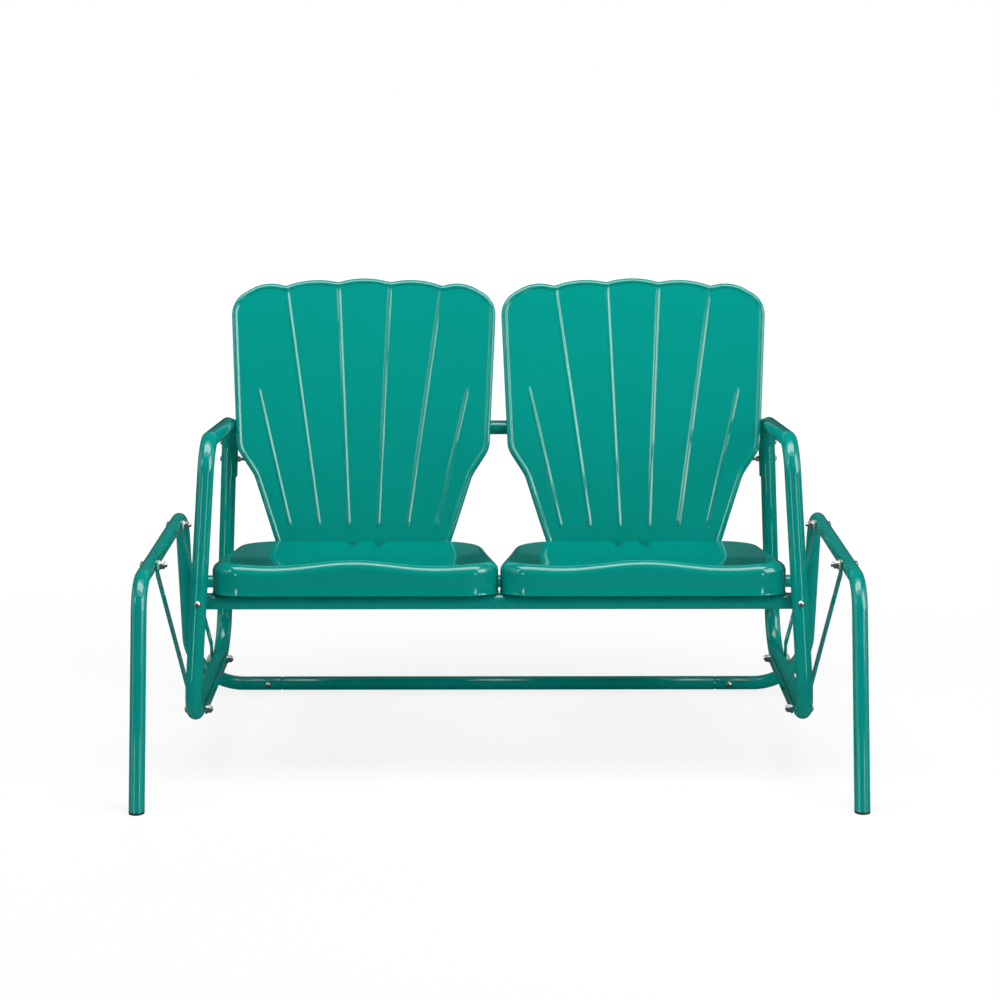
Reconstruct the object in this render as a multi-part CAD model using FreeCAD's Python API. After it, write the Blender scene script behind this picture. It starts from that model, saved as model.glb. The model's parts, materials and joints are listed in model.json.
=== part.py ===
# Glider bench: two pressed steel shell seats on a bent tube frame that swings on four hangers.
# Millimetres. +X is the viewer's right, -Y is the front and +Z is up.
# The origin is on the ground, in the middle of the plan.
import FreeCAD, Part
import math
import os

# Base: two bent side tubes and a stretcher along the ground at the back
OVERALL_WIDTH = 1300.0
BASE_TUBE = 28.0
TUBE_WALL = 1.5
RAIL_HEIGHT = 388.0
FRONT_FOOT_Y = -382.0
FRONT_CORNER_Y = -272.0
REAR_CORNER_Y = 294.0
REAR_FOOT_Y = 370.0
RAIL_BEND = 66.0
GROUND_BEND = 108.0
GLIDE_THICKNESS = 4.0
GLIDE_PLUG_LENGTH = 18.0
STRETCHER_SEAM_X = 451.0
NECK_LENGTH = 44.0
NECK_FIT = 0.05
NECK_ROOT_LENGTH = 5.0
STRETCHER_BOLT_INSET = 26.0

# Swinging frame: two closed side loops, three crossbars
LOOP_TUBE = 30.0
LOOP_OFFSET = 78.5
FRONT_SPLAY = 3.85
REAR_SPLAY = 2.3
ARM_FRONT_HEIGHT = 620.0
ARM_REAR_HEIGHT = 568.5
ARM_FRONT_Y = -158.0
ARM_REAR_Y = 331.0
LOW_RAIL_HEIGHT = 115.0
LOW_FRONT_Y = -216.0
LOW_REAR_Y = 284.0
ARM_FRONT_BEND = 58.0
ARM_REAR_BEND = 50.0
LOW_FRONT_BEND = 64.0
LOW_REAR_BEND = 84.0
FRONT_CROSSBAR = 30.0
FRONT_CROSSBAR_HEIGHT = 326.0
REAR_CROSSBAR = 25.0
REAR_CROSSBAR_HEIGHT = 256.0
CROSSBAR_WALL = 1.5
FRONT_CROSSBAR_OVERHANG = 12.0
REAR_CROSSBAR_OVERHANG = 36.0
BACK_CROSSBAR = 28.0
BACK_CROSSBAR_HEIGHT = 564.0
JOINT_SLEEVE_LENGTH = 120.0
PLUG_LENGTH = 6.0

# Hangers: flat steel links, upright at rest
FRONT_PIVOT_Y = -139.0
REAR_PIVOT_Y = 199.0
HANGER_WIDTH = 25.0
HANGER_THICKNESS = 3.2
HANGER_BEND = 8.0
HANGER_TOP_TAB = 16.0
HANGER_LOW_TAB = 30.0
PIVOT_FLAT_DEPTH = 3.0
PIVOT_FLAT_LENGTH = 48.0
SIDE_GAP = 0.3
SPACER_THICKNESS = 3.0
SPACER_DIAMETER = 18.0
BUSH_DIAMETER = 12.0
BUSH_CLEARANCE = 0.05
TIE_BAR_WIDTH = 18.0
TIE_BAR_THICKNESS = 2.5

# Hardware
PIVOT_BOLT = 8.0
PIVOT_HEAD = 16.0
PIVOT_HEAD_HEIGHT = 4.8
FRAME_BOLT = 6.0
FRAME_HEAD = 11.5
FRAME_HEAD_HEIGHT = 3.4
WASHER_THICKNESS = 1.6
NUT_HEIGHT_RATIO = 0.95
BOLT_TAIL = 4.0
HOLE_CLEARANCE = 0.2

# Pressed seats: pan and back of each place
SHEET = 1.5
PLACE_GAP = 3.0
PAN_SIDE_GAP = 6.0
PAN_FRONT_Y = -209.0
PAN_REAR_Y = 219.0
PAN_OUTER_NARROWING = 16.0
PAN_INNER_NARROWING = 40.0
PAN_SLOPE = 7.0
PAN_DEPTH = 60.0
PAN_FRONT_CORNER = 42.0
PAN_REAR_CORNER = 80.0
PAN_INNER_REAR_CORNER = 90.0
PAN_DISH = 13.0
PAN_WAVE = 4.5
PAN_EDGE_RADIUS = 17.0
BACK_FOOT_DROP = 8.0
BACK_RECLINE = 17.5
BACK_HEIGHT = 532.5
BACK_OVERHANG = 10.8
BACK_GAP = 9.0
BACK_CURVE_RADIUS = 1400.0
BACK_RIM_DEPTH = 16.0
BACK_FOOT_INSET = 91.0
BACK_WAIST_INSET = 47.5
BACK_WAIST_AT = 135.0
BACK_WAIST_BEND = 60.0
BACK_SHOULDER_INSET = 13.5
BACK_SHOULDER_AT = 187.0
BACK_SHOULDER_BEND = 50.0
BACK_TOP_CORNER = 55.0
BACK_LOBES = 5
BACK_LOBE_RISE = 6.3
BACK_CORNER_LOBE_EXTRA = 2.5
BACK_CROWN = 29.0
BACK_CUSP_RADIUS = 10.0
BACK_LIP = 42.0
RIB_WIDTH = 13.0
RIB_HEIGHT = 4.0
RIB_TOP_MARGIN = 14.0
RIB_GATHER = 0.55
SHORT_RIB_TOP_INSET = 54.5
SHORT_RIB_TOP_AT = 310.0
SHORT_RIB_FOOT_INSET = 120.5
RIB_FOOT_AT = 28.0

# Brackets
SADDLE_THICKNESS = 3.0
SADDLE_LOW = 462.0
SADDLE_FRONT = 19.0
SADDLE_BOLT_HEIGHTS = (497.0, 530.0)
PAN_BRACKET_WIDTH = 30.0
PAN_BRACKET_THICKNESS = 3.0
PAN_BRACKET_BEND = 6.0
PAN_BRACKET_SPREAD = 220.0
PAN_BRACKET_RISE = 34.0
PAN_BRACKET_OVERRUN = 12.0
BACK_PAD_DIAMETER = 22.0
BACK_PAD_THICKNESS = 1.0
BACK_PAD_SPREAD = 152.0
BACK_PAD_CLEARANCE = 0.05
PAN_SCREW_REACH = 9.0

X_AXIS = FreeCAD.Vector(1, 0, 0)
Y_AXIS = FreeCAD.Vector(0, 1, 0)
Z_AXIS = FreeCAD.Vector(0, 0, 1)
ORIGIN = FreeCAD.Vector(0, 0, 0)

# Values worked out from the sizes above
SIDE_X = (OVERALL_WIDTH - BASE_TUBE) / 2
LOOP_LOW_X = SIDE_X - LOOP_OFFSET
HANGER_LENGTH = RAIL_HEIGHT - LOW_RAIL_HEIGHT
PIVOT_YS = (FRONT_PIVOT_Y, REAR_PIVOT_Y)
HANGER_TOP_X = SIDE_X - BASE_TUBE / 2 + PIVOT_FLAT_DEPTH - SIDE_GAP - HANGER_THICKNESS / 2
HANGER_LOW_X = LOOP_LOW_X + LOOP_TUBE / 2 - PIVOT_FLAT_DEPTH + SIDE_GAP + HANGER_THICKNESS / 2
PAN_RISE = math.tan(math.radians(PAN_SLOPE))
RECLINE = math.radians(BACK_RECLINE)


def vector(x, y, z):
    return FreeCAD.Vector(x, y, z)


# General shapes

def rounded_path(points, radii, closed=False):
    """Straight runs joined by tangent arcs, one radius for each corner."""
    count = len(points)
    corners = range(count) if closed else range(1, count - 1)
    edges = []
    last = None if closed else points[0]
    first = None
    for index in corners:
        corner = points[index]
        before = (points[index - 1] - corner).normalize()
        after = (points[(index + 1) % count] - corner).normalize()
        half = before.getAngle(after) / 2
        reach = radii[index if closed else index - 1] / math.tan(half)
        start = corner + before * reach
        end = corner + after * reach
        centre = corner + (before + after).normalize() * (reach / math.cos(half))
        middle = centre + (corner - centre).normalize() * (centre - start).Length
        if last is not None and (start - last).Length > 1e-6:
            edges.append(Part.LineSegment(last, start).toShape())
        if first is None:
            first = start
        edges.append(Part.Arc(start, middle, end).toShape())
        last = end
    closing = first if closed else points[-1]
    if (closing - last).Length > 1e-6:
        edges.append(Part.LineSegment(last, closing).toShape())
    return Part.Wire(edges)


def sweep(path, profile, sideways=None):
    """A solid made by carrying a closed profile along a path. A sideways direction keeps it from twisting."""
    maker = Part.BRepOffsetAPI.MakePipeShell(path)
    if sideways is not None:
        maker.setBiNormalMode(sideways)
    maker.add(profile, False, False)
    maker.build()
    maker.makeSolid()
    return maker.shape()


def round_sweep(path, radius, sideways=None):
    """A round bar along a path."""
    edge = path.OrderedEdges[0]
    start = edge.valueAt(edge.FirstParameter)
    direction = edge.tangentAt(edge.FirstParameter)
    return sweep(path, Part.Wire([Part.makeCircle(radius, start, direction)]), sideways)


def pressed_block(flat, outward, inset):
    """The block that a pressed flat takes off a bar: a trapezoid seen from above."""
    centre, radius, depth, length = flat
    near = radius - depth - inset
    far = radius + 2
    half = length / 2 + inset
    flare = half + 2 * depth
    tall = 2 * radius + 4
    points = [vector(near, -half, 0), vector(near, half, 0), vector(far, flare, 0), vector(far, -flare, 0)]
    outline = Part.Wire(Part.makePolygon(points + points[:1]))
    block = Part.Face(outline).extrude(vector(0, 0, tall))
    block.translate(vector(0, 0, -tall / 2))
    if outward < 0:
        block.rotate(ORIGIN, Z_AXIS, 180)
    block.translate(centre)
    return block


def bent_tube(path, diameter, flats=(), sideways=None):
    """A hollow tube along a path, with flats pressed into it: each flat is (side, flat)."""
    outer = round_sweep(path, diameter / 2, sideways)
    inner = round_sweep(path, diameter / 2 - TUBE_WALL, sideways)
    for side, flat in flats:
        outer = outer.cut(pressed_block(flat, side, 0))
        inner = inner.cut(pressed_block(flat, side, TUBE_WALL))
    return outer.cut(inner)


def bar(start, end, radius):
    """A round bar between two points."""
    return Part.makeCylinder(radius, (end - start).Length, start, end - start)


def ring(start, end, outer_radius, inner_radius):
    """A round bar with a bore."""
    return bar(start, end, outer_radius).cut(bar(start, end, inner_radius))


def prism(wire, direction):
    """A solid pushed out of a flat closed wire."""
    return Part.Face(wire).extrude(direction)


def mirrored(shape):
    """The same shape on the other side of the middle."""
    return shape.mirror(ORIGIN, X_AXIS)


def both_sides(shape):
    """The shape and its mirror image, as separate solids."""
    return [shape, mirrored(shape)]


# Hardware: every piece starts at a seat point and goes along a direction

def domed_bolt(seat, direction, diameter, head, head_height, length):
    """A bolt with a low domed head and a hexagon socket. The shank goes along direction."""
    axis = direction.normalize()
    half = head / 2
    sphere_radius = (half * half + head_height * head_height) / (2 * head_height)
    top = seat - axis * head_height
    sphere = Part.makeSphere(sphere_radius, top + axis * sphere_radius)
    dome = sphere.common(bar(top - axis, seat, half))
    shank = bar(seat, seat + axis * length, diameter / 2)
    socket = hexagon_prism(top - axis, axis, diameter * 0.55, 1 + head_height * 0.6)
    return dome.fuse(shank).removeSplitter().cut(socket)


def hexagon_prism(base, axis, across_flats, height):
    """A six-sided prism."""
    across = X_AXIS if abs(axis.dot(X_AXIS)) < 0.5 else Y_AXIS
    side = axis.cross(across).normalize()
    other = axis.cross(side).normalize()
    radius = across_flats / math.sqrt(3)
    points = []
    for turn in range(6):
        angle = math.radians(60 * turn)
        points.append(base + side * (radius * math.cos(angle)) + other * (radius * math.sin(angle)))
    return prism(Part.makePolygon(points + points[:1]), axis * height)


def lock_nut(seat, direction, diameter):
    """A lock nut: a hexagon with rounded corners and a domed collar at its far end."""
    axis = direction.normalize()
    across_flats = 1.625 * diameter
    height = NUT_HEIGHT_RATIO * diameter
    body = hexagon_prism(seat, axis, across_flats, height)
    cone_radius = 0.56 * across_flats
    limit = Part.makeCone(cone_radius + height * 0.9, cone_radius * 0.78, height, seat, axis)
    return body.common(limit).cut(bar(seat, seat + axis * height, diameter / 2))


def washer(seat, direction, diameter):
    """A flat washer."""
    axis = direction.normalize()
    return ring(seat, seat + axis * WASHER_THICKNESS, diameter * 1.05, diameter / 2)


# Places on the frame

def front_post_x(height):
    """How far out the axis of a front post is, at a height."""
    return LOOP_LOW_X - math.tan(math.radians(FRONT_SPLAY)) * (height - LOW_RAIL_HEIGHT)


def rear_post_x(height):
    """How far out the axis of a rear post is, at a height."""
    return LOOP_LOW_X - math.tan(math.radians(REAR_SPLAY)) * (height - LOW_RAIL_HEIGHT)


def post_y(height, low_y, top_y, top_height):
    """Where the axis of a straight post is, at a height."""
    return low_y + (top_y - low_y) * (height - LOW_RAIL_HEIGHT) / (top_height - LOW_RAIL_HEIGHT)


def front_post_y(height):
    return post_y(height, LOW_FRONT_Y, ARM_FRONT_Y, ARM_FRONT_HEIGHT)


def rear_post_y(height):
    return post_y(height, LOW_REAR_Y, ARM_REAR_Y, ARM_REAR_HEIGHT)


def front_post_place(height):
    """A point on the axis of the left front post."""
    return vector(-front_post_x(height), front_post_y(height), height)


def rear_post_place(height):
    """A point on the axis of the left rear post."""
    return vector(-rear_post_x(height), rear_post_y(height), height)


def post_normal(low_y, top_y, top_height):
    """The direction square to a post and to the crossbars, pointing to the back."""
    along = vector(0, top_y - low_y, top_height - LOW_RAIL_HEIGHT).normalize()
    return vector(0, along.z, -along.y)


FRONT_NORMAL = post_normal(LOW_FRONT_Y, ARM_FRONT_Y, ARM_FRONT_HEIGHT)
REAR_NORMAL = post_normal(LOW_REAR_Y, ARM_REAR_Y, ARM_REAR_HEIGHT)
POST_RISE = (rear_post_place(ARM_REAR_HEIGHT) - rear_post_place(LOW_RAIL_HEIGHT)).normalize()
ARM_RUN = (front_post_place(ARM_FRONT_HEIGHT) - rear_post_place(ARM_REAR_HEIGHT)).normalize()
SADDLE_NORMAL = POST_RISE.cross(ARM_RUN).normalize()
FRONT_STEP = (LOOP_TUBE + FRONT_CROSSBAR) / 2
REAR_STEP = (LOOP_TUBE + REAR_CROSSBAR) / 2
FRONT_POST_AT = FRONT_CROSSBAR_HEIGHT - FRONT_STEP * FRONT_NORMAL.z
REAR_POST_AT = REAR_CROSSBAR_HEIGHT + REAR_STEP * REAR_NORMAL.z
FRONT_CROSSBAR_Y = front_post_y(FRONT_POST_AT) + FRONT_STEP * FRONT_NORMAL.y
REAR_CROSSBAR_Y = rear_post_y(REAR_POST_AT) - REAR_STEP * REAR_NORMAL.y
FRONT_CROSSBAR_END = front_post_x(FRONT_CROSSBAR_HEIGHT) + FRONT_CROSSBAR_OVERHANG
REAR_CROSSBAR_END = rear_post_x(REAR_CROSSBAR_HEIGHT) + REAR_CROSSBAR_OVERHANG

# The pan's rim plane rests on top of the front crossbar and falls towards the back.
PAN_RIM_AT_FRONT_BAR = FRONT_CROSSBAR_HEIGHT + FRONT_CROSSBAR / 2 / math.cos(math.radians(PAN_SLOPE))
PAN_OUTER_X = front_post_x(PAN_RIM_AT_FRONT_BAR) - LOOP_TUBE / 2 - PAN_SIDE_GAP
PAN_WIDTH = PAN_OUTER_X - PLACE_GAP / 2
PAN_CENTRE_X = (PAN_OUTER_X + PLACE_GAP / 2) / 2


def rim_height(y):
    """The height of the pan's rim plane."""
    return PAN_RIM_AT_FRONT_BAR - PAN_RISE * (y - FRONT_CROSSBAR_Y)


# The backs reach a little further out than the pans.
BACK_OUTER_X = PAN_OUTER_X + BACK_OVERHANG
BACK_WIDTH = BACK_OUTER_X - BACK_GAP / 2
BACK_SPACING = BACK_OUTER_X + BACK_GAP / 2
BACK_FOOT_WIDTH = BACK_WIDTH - 2 * BACK_FOOT_INSET
BACK_WAIST_WIDTH = BACK_WIDTH - 2 * BACK_WAIST_INSET
BACK_SHOULDER_WIDTH = BACK_WIDTH - 2 * BACK_SHOULDER_INSET
SHORT_RIB_TOP_WIDTH = BACK_WIDTH - 2 * SHORT_RIB_TOP_INSET
SHORT_RIB_FOOT_WIDTH = BACK_WIDTH - 2 * SHORT_RIB_FOOT_INSET

# The back stands behind the pan's rear skirt. Its plane is measured from the foot line.
BACK_FOOT_Y = PAN_REAR_Y
BACK_FOOT_Z = rim_height(PAN_REAR_Y) + PAN_DEPTH - BACK_FOOT_DROP
BACK_UP = vector(0, math.sin(RECLINE), math.cos(RECLINE))
BACK_REARWARD = vector(0, math.cos(RECLINE), -math.sin(RECLINE))
BACK_CROSSBAR_BEHIND = SHEET + BACK_PAD_THICKNESS + BACK_CROSSBAR / 2
BACK_CROSSBAR_UP = (BACK_CROSSBAR_HEIGHT - BACK_FOOT_Z
                    + BACK_CROSSBAR_BEHIND * math.sin(RECLINE)) / math.cos(RECLINE)


def back_point(across, up, behind=0.0):
    """A point of the back: across from its centre line, up from its foot, behind its front face."""
    place = vector(across, BACK_FOOT_Y, BACK_FOOT_Z)
    return place + BACK_UP * up + BACK_REARWARD * behind


BACK_CROSSBAR_AXIS = back_point(0, BACK_CROSSBAR_UP, BACK_CROSSBAR_BEHIND)
BACK_ROOM = BACK_WIDTH * BACK_WIDTH / (8 * BACK_CURVE_RADIUS) + BACK_RIM_DEPTH + RIB_HEIGHT
SLOPE_NORMAL = vector(0, PAN_RISE, 1).normalize()
SLOPE_REARWARD = vector(0, 1, -PAN_RISE).normalize()


# Base

def side_path():
    """The centre line of the left base tube, from the foot to the seam of the stretcher."""
    radius = BASE_TUBE / 2
    points = [vector(-SIDE_X, FRONT_FOOT_Y, 0),
              vector(-SIDE_X, FRONT_CORNER_Y, RAIL_HEIGHT),
              vector(-SIDE_X, REAR_CORNER_Y, RAIL_HEIGHT),
              vector(-SIDE_X, REAR_FOOT_Y, radius),
              vector(-STRETCHER_SEAM_X, REAR_FOOT_Y, radius)]
    run = (points[0] - points[1]).normalize()
    points[0] = points[0] + run * BASE_TUBE
    return rounded_path(points, [RAIL_BEND, RAIL_BEND, GROUND_BEND])


def rail_flats():
    """Flats pressed into the inner side of the left rail, one at each hanger."""
    for y in PIVOT_YS:
        yield 1, (vector(-SIDE_X, y, RAIL_HEIGHT), BASE_TUBE / 2, PIVOT_FLAT_DEPTH, PIVOT_FLAT_LENGTH)


def base_side():
    """The left base tube, with its foot cut level above the glide."""
    shape = bent_tube(side_path(), BASE_TUBE, rail_flats())
    below = Part.makeBox(200, 200, 200, vector(-SIDE_X - 100, FRONT_FOOT_Y - 100, GLIDE_THICKNESS - 200))
    shape = shape.cut(below)
    for y in PIVOT_YS:
        start = vector(-SIDE_X - BASE_TUBE, y, RAIL_HEIGHT)
        shape = shape.cut(bar(start, start + X_AXIS * (2 * BASE_TUBE), PIVOT_BOLT / 2 + HOLE_CLEARANCE))
    return shape.cut(stretcher_bolt_hole())


def stretcher_bolt_x():
    return -STRETCHER_SEAM_X - STRETCHER_BOLT_INSET


def stretcher_bolt_hole():
    """The hole for the bolt that pins the stretcher's neck in the side tube."""
    height = BASE_TUBE / 2
    return bar(vector(stretcher_bolt_x(), REAR_FOOT_Y - BASE_TUBE, height),
               vector(stretcher_bolt_x(), REAR_FOOT_Y + BASE_TUBE, height), FRAME_BOLT / 2 + HOLE_CLEARANCE)


def base_stretcher():
    """The ground tube at the back: a swaged neck at each end goes into the side tubes."""
    height = BASE_TUBE / 2
    outer_radius = BASE_TUBE / 2
    neck_radius = BASE_TUBE / 2 - TUBE_WALL - NECK_FIT
    shoulder = STRETCHER_SEAM_X - NECK_ROOT_LENGTH
    end = STRETCHER_SEAM_X + NECK_LENGTH

    def section(outer, neck):
        points = [vector(0, 0, 0), vector(0, outer, 0), vector(shoulder, outer, 0),
                  vector(STRETCHER_SEAM_X, neck, 0), vector(end, neck, 0), vector(end, 0, 0)]
        half = Part.Face(Part.makePolygon(points + points[:1])).revolve(ORIGIN, X_AXIS, 360)
        return half.fuse(mirrored(half)).removeSplitter()

    shape = section(outer_radius, neck_radius).cut(section(outer_radius - TUBE_WALL, neck_radius - TUBE_WALL))
    shape.translate(vector(0, REAR_FOOT_Y, height))
    hole = stretcher_bolt_hole()
    return shape.cut(hole).cut(mirrored(hole))


def stretcher_bolts():
    height = BASE_TUBE / 2
    seat = vector(stretcher_bolt_x(), REAR_FOOT_Y - BASE_TUBE / 2, height)
    length = BASE_TUBE + NUT_HEIGHT_RATIO * FRAME_BOLT + BOLT_TAIL / 2
    return domed_bolt(seat, Y_AXIS, FRAME_BOLT, FRAME_HEAD, FRAME_HEAD_HEIGHT, length)


def stretcher_nuts():
    return lock_nut(vector(stretcher_bolt_x(), REAR_FOOT_Y + BASE_TUBE / 2, BASE_TUBE / 2), Y_AXIS, FRAME_BOLT)


def foot_glide():
    """The plastic glide in the left front foot: a pad under the tube and a plug inside it."""
    low = vector(-SIDE_X, FRONT_FOOT_Y, 0)
    high = vector(-SIDE_X, FRONT_CORNER_Y, RAIL_HEIGHT)
    run = (high - low).normalize()
    far = low - run * BASE_TUBE
    pad_zone = Part.makeBox(100, 100, GLIDE_THICKNESS, vector(-SIDE_X - 50, FRONT_FOOT_Y - 50, 0))
    plug_zone = Part.makeBox(100, 100, GLIDE_PLUG_LENGTH, vector(-SIDE_X - 50, FRONT_FOOT_Y - 50, GLIDE_THICKNESS))
    pad = bar(far, high, BASE_TUBE / 2).common(pad_zone)
    plug = bar(far, high, BASE_TUBE / 2 - TUBE_WALL - NECK_FIT).common(plug_zone)
    return pad.fuse(plug).removeSplitter()


# Pivots: the stacks of hardware on each bolt, worked from the tube towards the nut

def top_stack():
    """Distances from the middle of the bench: hanger's inner face, spacer, washer, nut, end."""
    spacer = HANGER_TOP_X - HANGER_THICKNESS / 2 - SIDE_GAP
    rest = spacer - SPACER_THICKNESS
    nut = rest - WASHER_THICKNESS
    return spacer, rest, nut, nut - NUT_HEIGHT_RATIO * PIVOT_BOLT - BOLT_TAIL


def low_stack():
    """Distances from the middle: spacer's inner face, head's seat, tie bar, washer, nut, end."""
    spacer = HANGER_LOW_X + HANGER_THICKNESS / 2 + SIDE_GAP
    head = spacer + SPACER_THICKNESS
    tie = LOOP_LOW_X - LOOP_TUBE / 2
    rest = tie - TIE_BAR_THICKNESS
    nut = rest - WASHER_THICKNESS
    return spacer, head, tie, rest, nut, nut - NUT_HEIGHT_RATIO * PIVOT_BOLT - BOLT_TAIL / 2


def each_pivot(maker):
    """One solid at each of the four pivots of one level."""
    shapes = []
    for y in PIVOT_YS:
        shapes += both_sides(maker(y))
    return shapes


def top_bolt(y):
    seat_x = SIDE_X + BASE_TUBE / 2
    end_x = top_stack()[3]
    seat = vector(-seat_x, y, RAIL_HEIGHT)
    return domed_bolt(seat, vector(1, 0, 0), PIVOT_BOLT, PIVOT_HEAD, PIVOT_HEAD_HEIGHT, seat_x - end_x)


def top_spacer(y):
    spacer, rest, nut, end = top_stack()
    return ring(vector(-spacer, y, RAIL_HEIGHT), vector(-rest, y, RAIL_HEIGHT), SPACER_DIAMETER / 2, PIVOT_BOLT / 2)


def top_washer(y):
    return washer(vector(-top_stack()[1], y, RAIL_HEIGHT), vector(1, 0, 0), PIVOT_BOLT)


def top_nut(y):
    return lock_nut(vector(-top_stack()[2], y, RAIL_HEIGHT), vector(1, 0, 0), PIVOT_BOLT)


def low_bolt(y):
    spacer, head, tie, rest, nut, end = low_stack()
    seat = vector(-head, y, LOW_RAIL_HEIGHT)
    return domed_bolt(seat, vector(1, 0, 0), PIVOT_BOLT, PIVOT_HEAD, PIVOT_HEAD_HEIGHT, head - end)


def low_spacer(y):
    spacer, head, tie, rest, nut, end = low_stack()
    return ring(vector(-head, y, LOW_RAIL_HEIGHT), vector(-spacer, y, LOW_RAIL_HEIGHT),
                SPACER_DIAMETER / 2, PIVOT_BOLT / 2)


def low_washer(y):
    return washer(vector(-low_stack()[3], y, LOW_RAIL_HEIGHT), vector(1, 0, 0), PIVOT_BOLT)


def low_nut(y):
    return lock_nut(vector(-low_stack()[4], y, LOW_RAIL_HEIGHT), vector(1, 0, 0), PIVOT_BOLT)


def stadium(low, high, radius, reach):
    """A flat bar with round ends between two points of one side plane, pushed through along X."""
    along = (high - low).normalize()
    side = along.cross(X_AXIS).normalize() * radius
    points = [low + side, high + side, high - side, low - side]
    edges = [Part.LineSegment(points[0], points[1]).toShape(),
             Part.Arc(points[1], high + along * radius, points[2]).toShape(),
             Part.LineSegment(points[2], points[3]).toShape(),
             Part.Arc(points[3], low - along * radius, points[0]).toShape()]
    return prism(Part.Wire(edges), X_AXIS * reach)


def hanger(y):
    """A left hanger: a flat link, joggled outwards near both ends, with an eye at each end."""
    half = HANGER_WIDTH / 2
    points = [vector(-HANGER_TOP_X, y, RAIL_HEIGHT + half),
              vector(-HANGER_TOP_X, y, RAIL_HEIGHT - HANGER_TOP_TAB),
              vector(-HANGER_LOW_X, y, LOW_RAIL_HEIGHT + HANGER_LOW_TAB),
              vector(-HANGER_LOW_X, y, LOW_RAIL_HEIGHT - half)]
    path = rounded_path(points, [HANGER_BEND, HANGER_BEND])
    corners = []
    for out, along in ((-1, -1), (1, -1), (1, 1), (-1, 1)):
        corners.append(points[0] + vector(out * HANGER_THICKNESS / 2, along * half, 0))
    strip = sweep(path, Part.Wire(Part.makePolygon(corners + corners[:1])))
    far = vector(-SIDE_X, y, 0)
    outline = stadium(far + Z_AXIS * LOW_RAIL_HEIGHT, far + Z_AXIS * RAIL_HEIGHT, half, 2 * LOOP_OFFSET)
    strip = strip.common(outline)
    for height in (RAIL_HEIGHT, LOW_RAIL_HEIGHT):
        eye = far + Z_AXIS * height
        strip = strip.cut(bar(eye, eye + X_AXIS * (2 * LOOP_OFFSET), BUSH_DIAMETER / 2))
    return strip


def hanger_bushes(y):
    """The two bushes of a left hanger, as thick as its sheet."""
    shapes = []
    for x, height in ((HANGER_TOP_X, RAIL_HEIGHT), (HANGER_LOW_X, LOW_RAIL_HEIGHT)):
        start = vector(-x - HANGER_THICKNESS / 2, y, height)
        end = vector(-x + HANGER_THICKNESS / 2, y, height)
        shapes.append(ring(start, end, BUSH_DIAMETER / 2, PIVOT_BOLT / 2 + BUSH_CLEARANCE))
    return shapes


def tie_bar():
    """The thin bar between the two lower pivots on the inner side of the left loop."""
    x = low_stack()[2]
    low = vector(-x, FRONT_PIVOT_Y, LOW_RAIL_HEIGHT)
    high = vector(-x, REAR_PIVOT_Y, LOW_RAIL_HEIGHT)
    shape = stadium(low, high, TIE_BAR_WIDTH / 2, TIE_BAR_THICKNESS)
    for y in PIVOT_YS:
        hole = vector(-x, y, LOW_RAIL_HEIGHT)
        shape = shape.cut(bar(hole, hole + X_AXIS * TIE_BAR_THICKNESS, PIVOT_BOLT / 2 + HOLE_CLEARANCE))
    return shape


# Swinging frame

def loop_path():
    """The centre line of the left side loop: lower rail, rear post, arm and front post."""
    points = [rear_post_place(LOW_RAIL_HEIGHT), rear_post_place(ARM_REAR_HEIGHT),
              front_post_place(ARM_FRONT_HEIGHT), front_post_place(LOW_RAIL_HEIGHT)]
    return rounded_path(points, [LOW_REAR_BEND, ARM_REAR_BEND, ARM_FRONT_BEND, LOW_FRONT_BEND], closed=True)


def loop_flats():
    """Flats pressed into the outer side of the left lower rail, one at each hanger."""
    for y in PIVOT_YS:
        yield -1, (vector(-LOOP_LOW_X, y, LOW_RAIL_HEIGHT), LOOP_TUBE / 2, PIVOT_FLAT_DEPTH, PIVOT_FLAT_LENGTH)


def post_bolt_hole(place, normal, length):
    """The hole for a crossbar bolt through a place on a left post, square to the post."""
    start = place - normal * length
    return bar(start, start + normal * (2 * length), FRAME_BOLT / 2 + HOLE_CLEARANCE)


def saddle_bolt_place(height):
    """A point on the axis of the left loop, on its rear post or in the bend above it."""
    bend_start = ARM_REAR_HEIGHT - ARM_REAR_BEND / math.tan((POST_RISE * -1).getAngle(ARM_RUN) / 2)
    over = max(height - bend_start, 0)
    forward = ARM_REAR_BEND - math.sqrt(ARM_REAR_BEND * ARM_REAR_BEND - over * over)
    return rear_post_place(height) - Y_AXIS * forward


def side_loop():
    """The left side loop with its bolt holes."""
    shape = bent_tube(loop_path(), LOOP_TUBE, loop_flats(), X_AXIS)
    for y in PIVOT_YS:
        start = vector(-LOOP_LOW_X - LOOP_TUBE, y, LOW_RAIL_HEIGHT)
        shape = shape.cut(bar(start, start + X_AXIS * (2 * LOOP_TUBE), PIVOT_BOLT / 2 + HOLE_CLEARANCE))
    shape = shape.cut(post_bolt_hole(front_post_place(FRONT_POST_AT), FRONT_NORMAL, LOOP_TUBE))
    shape = shape.cut(post_bolt_hole(rear_post_place(REAR_POST_AT), REAR_NORMAL, LOOP_TUBE))
    for height in SADDLE_BOLT_HEIGHTS:
        start = saddle_bolt_place(height) - SADDLE_NORMAL * LOOP_TUBE
        shape = shape.cut(bar(start, start + SADDLE_NORMAL * (2 * LOOP_TUBE), FRAME_BOLT / 2 + HOLE_CLEARANCE))
    return shape


def crossbar(y, height, diameter, end_x, hole):
    """A straight hollow crossbar with a bolt hole near each end."""
    start = vector(-end_x, y, height)
    shape = ring(start, vector(end_x, y, height), diameter / 2, diameter / 2 - CROSSBAR_WALL)
    return shape.cut(hole).cut(mirrored(hole))


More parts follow.
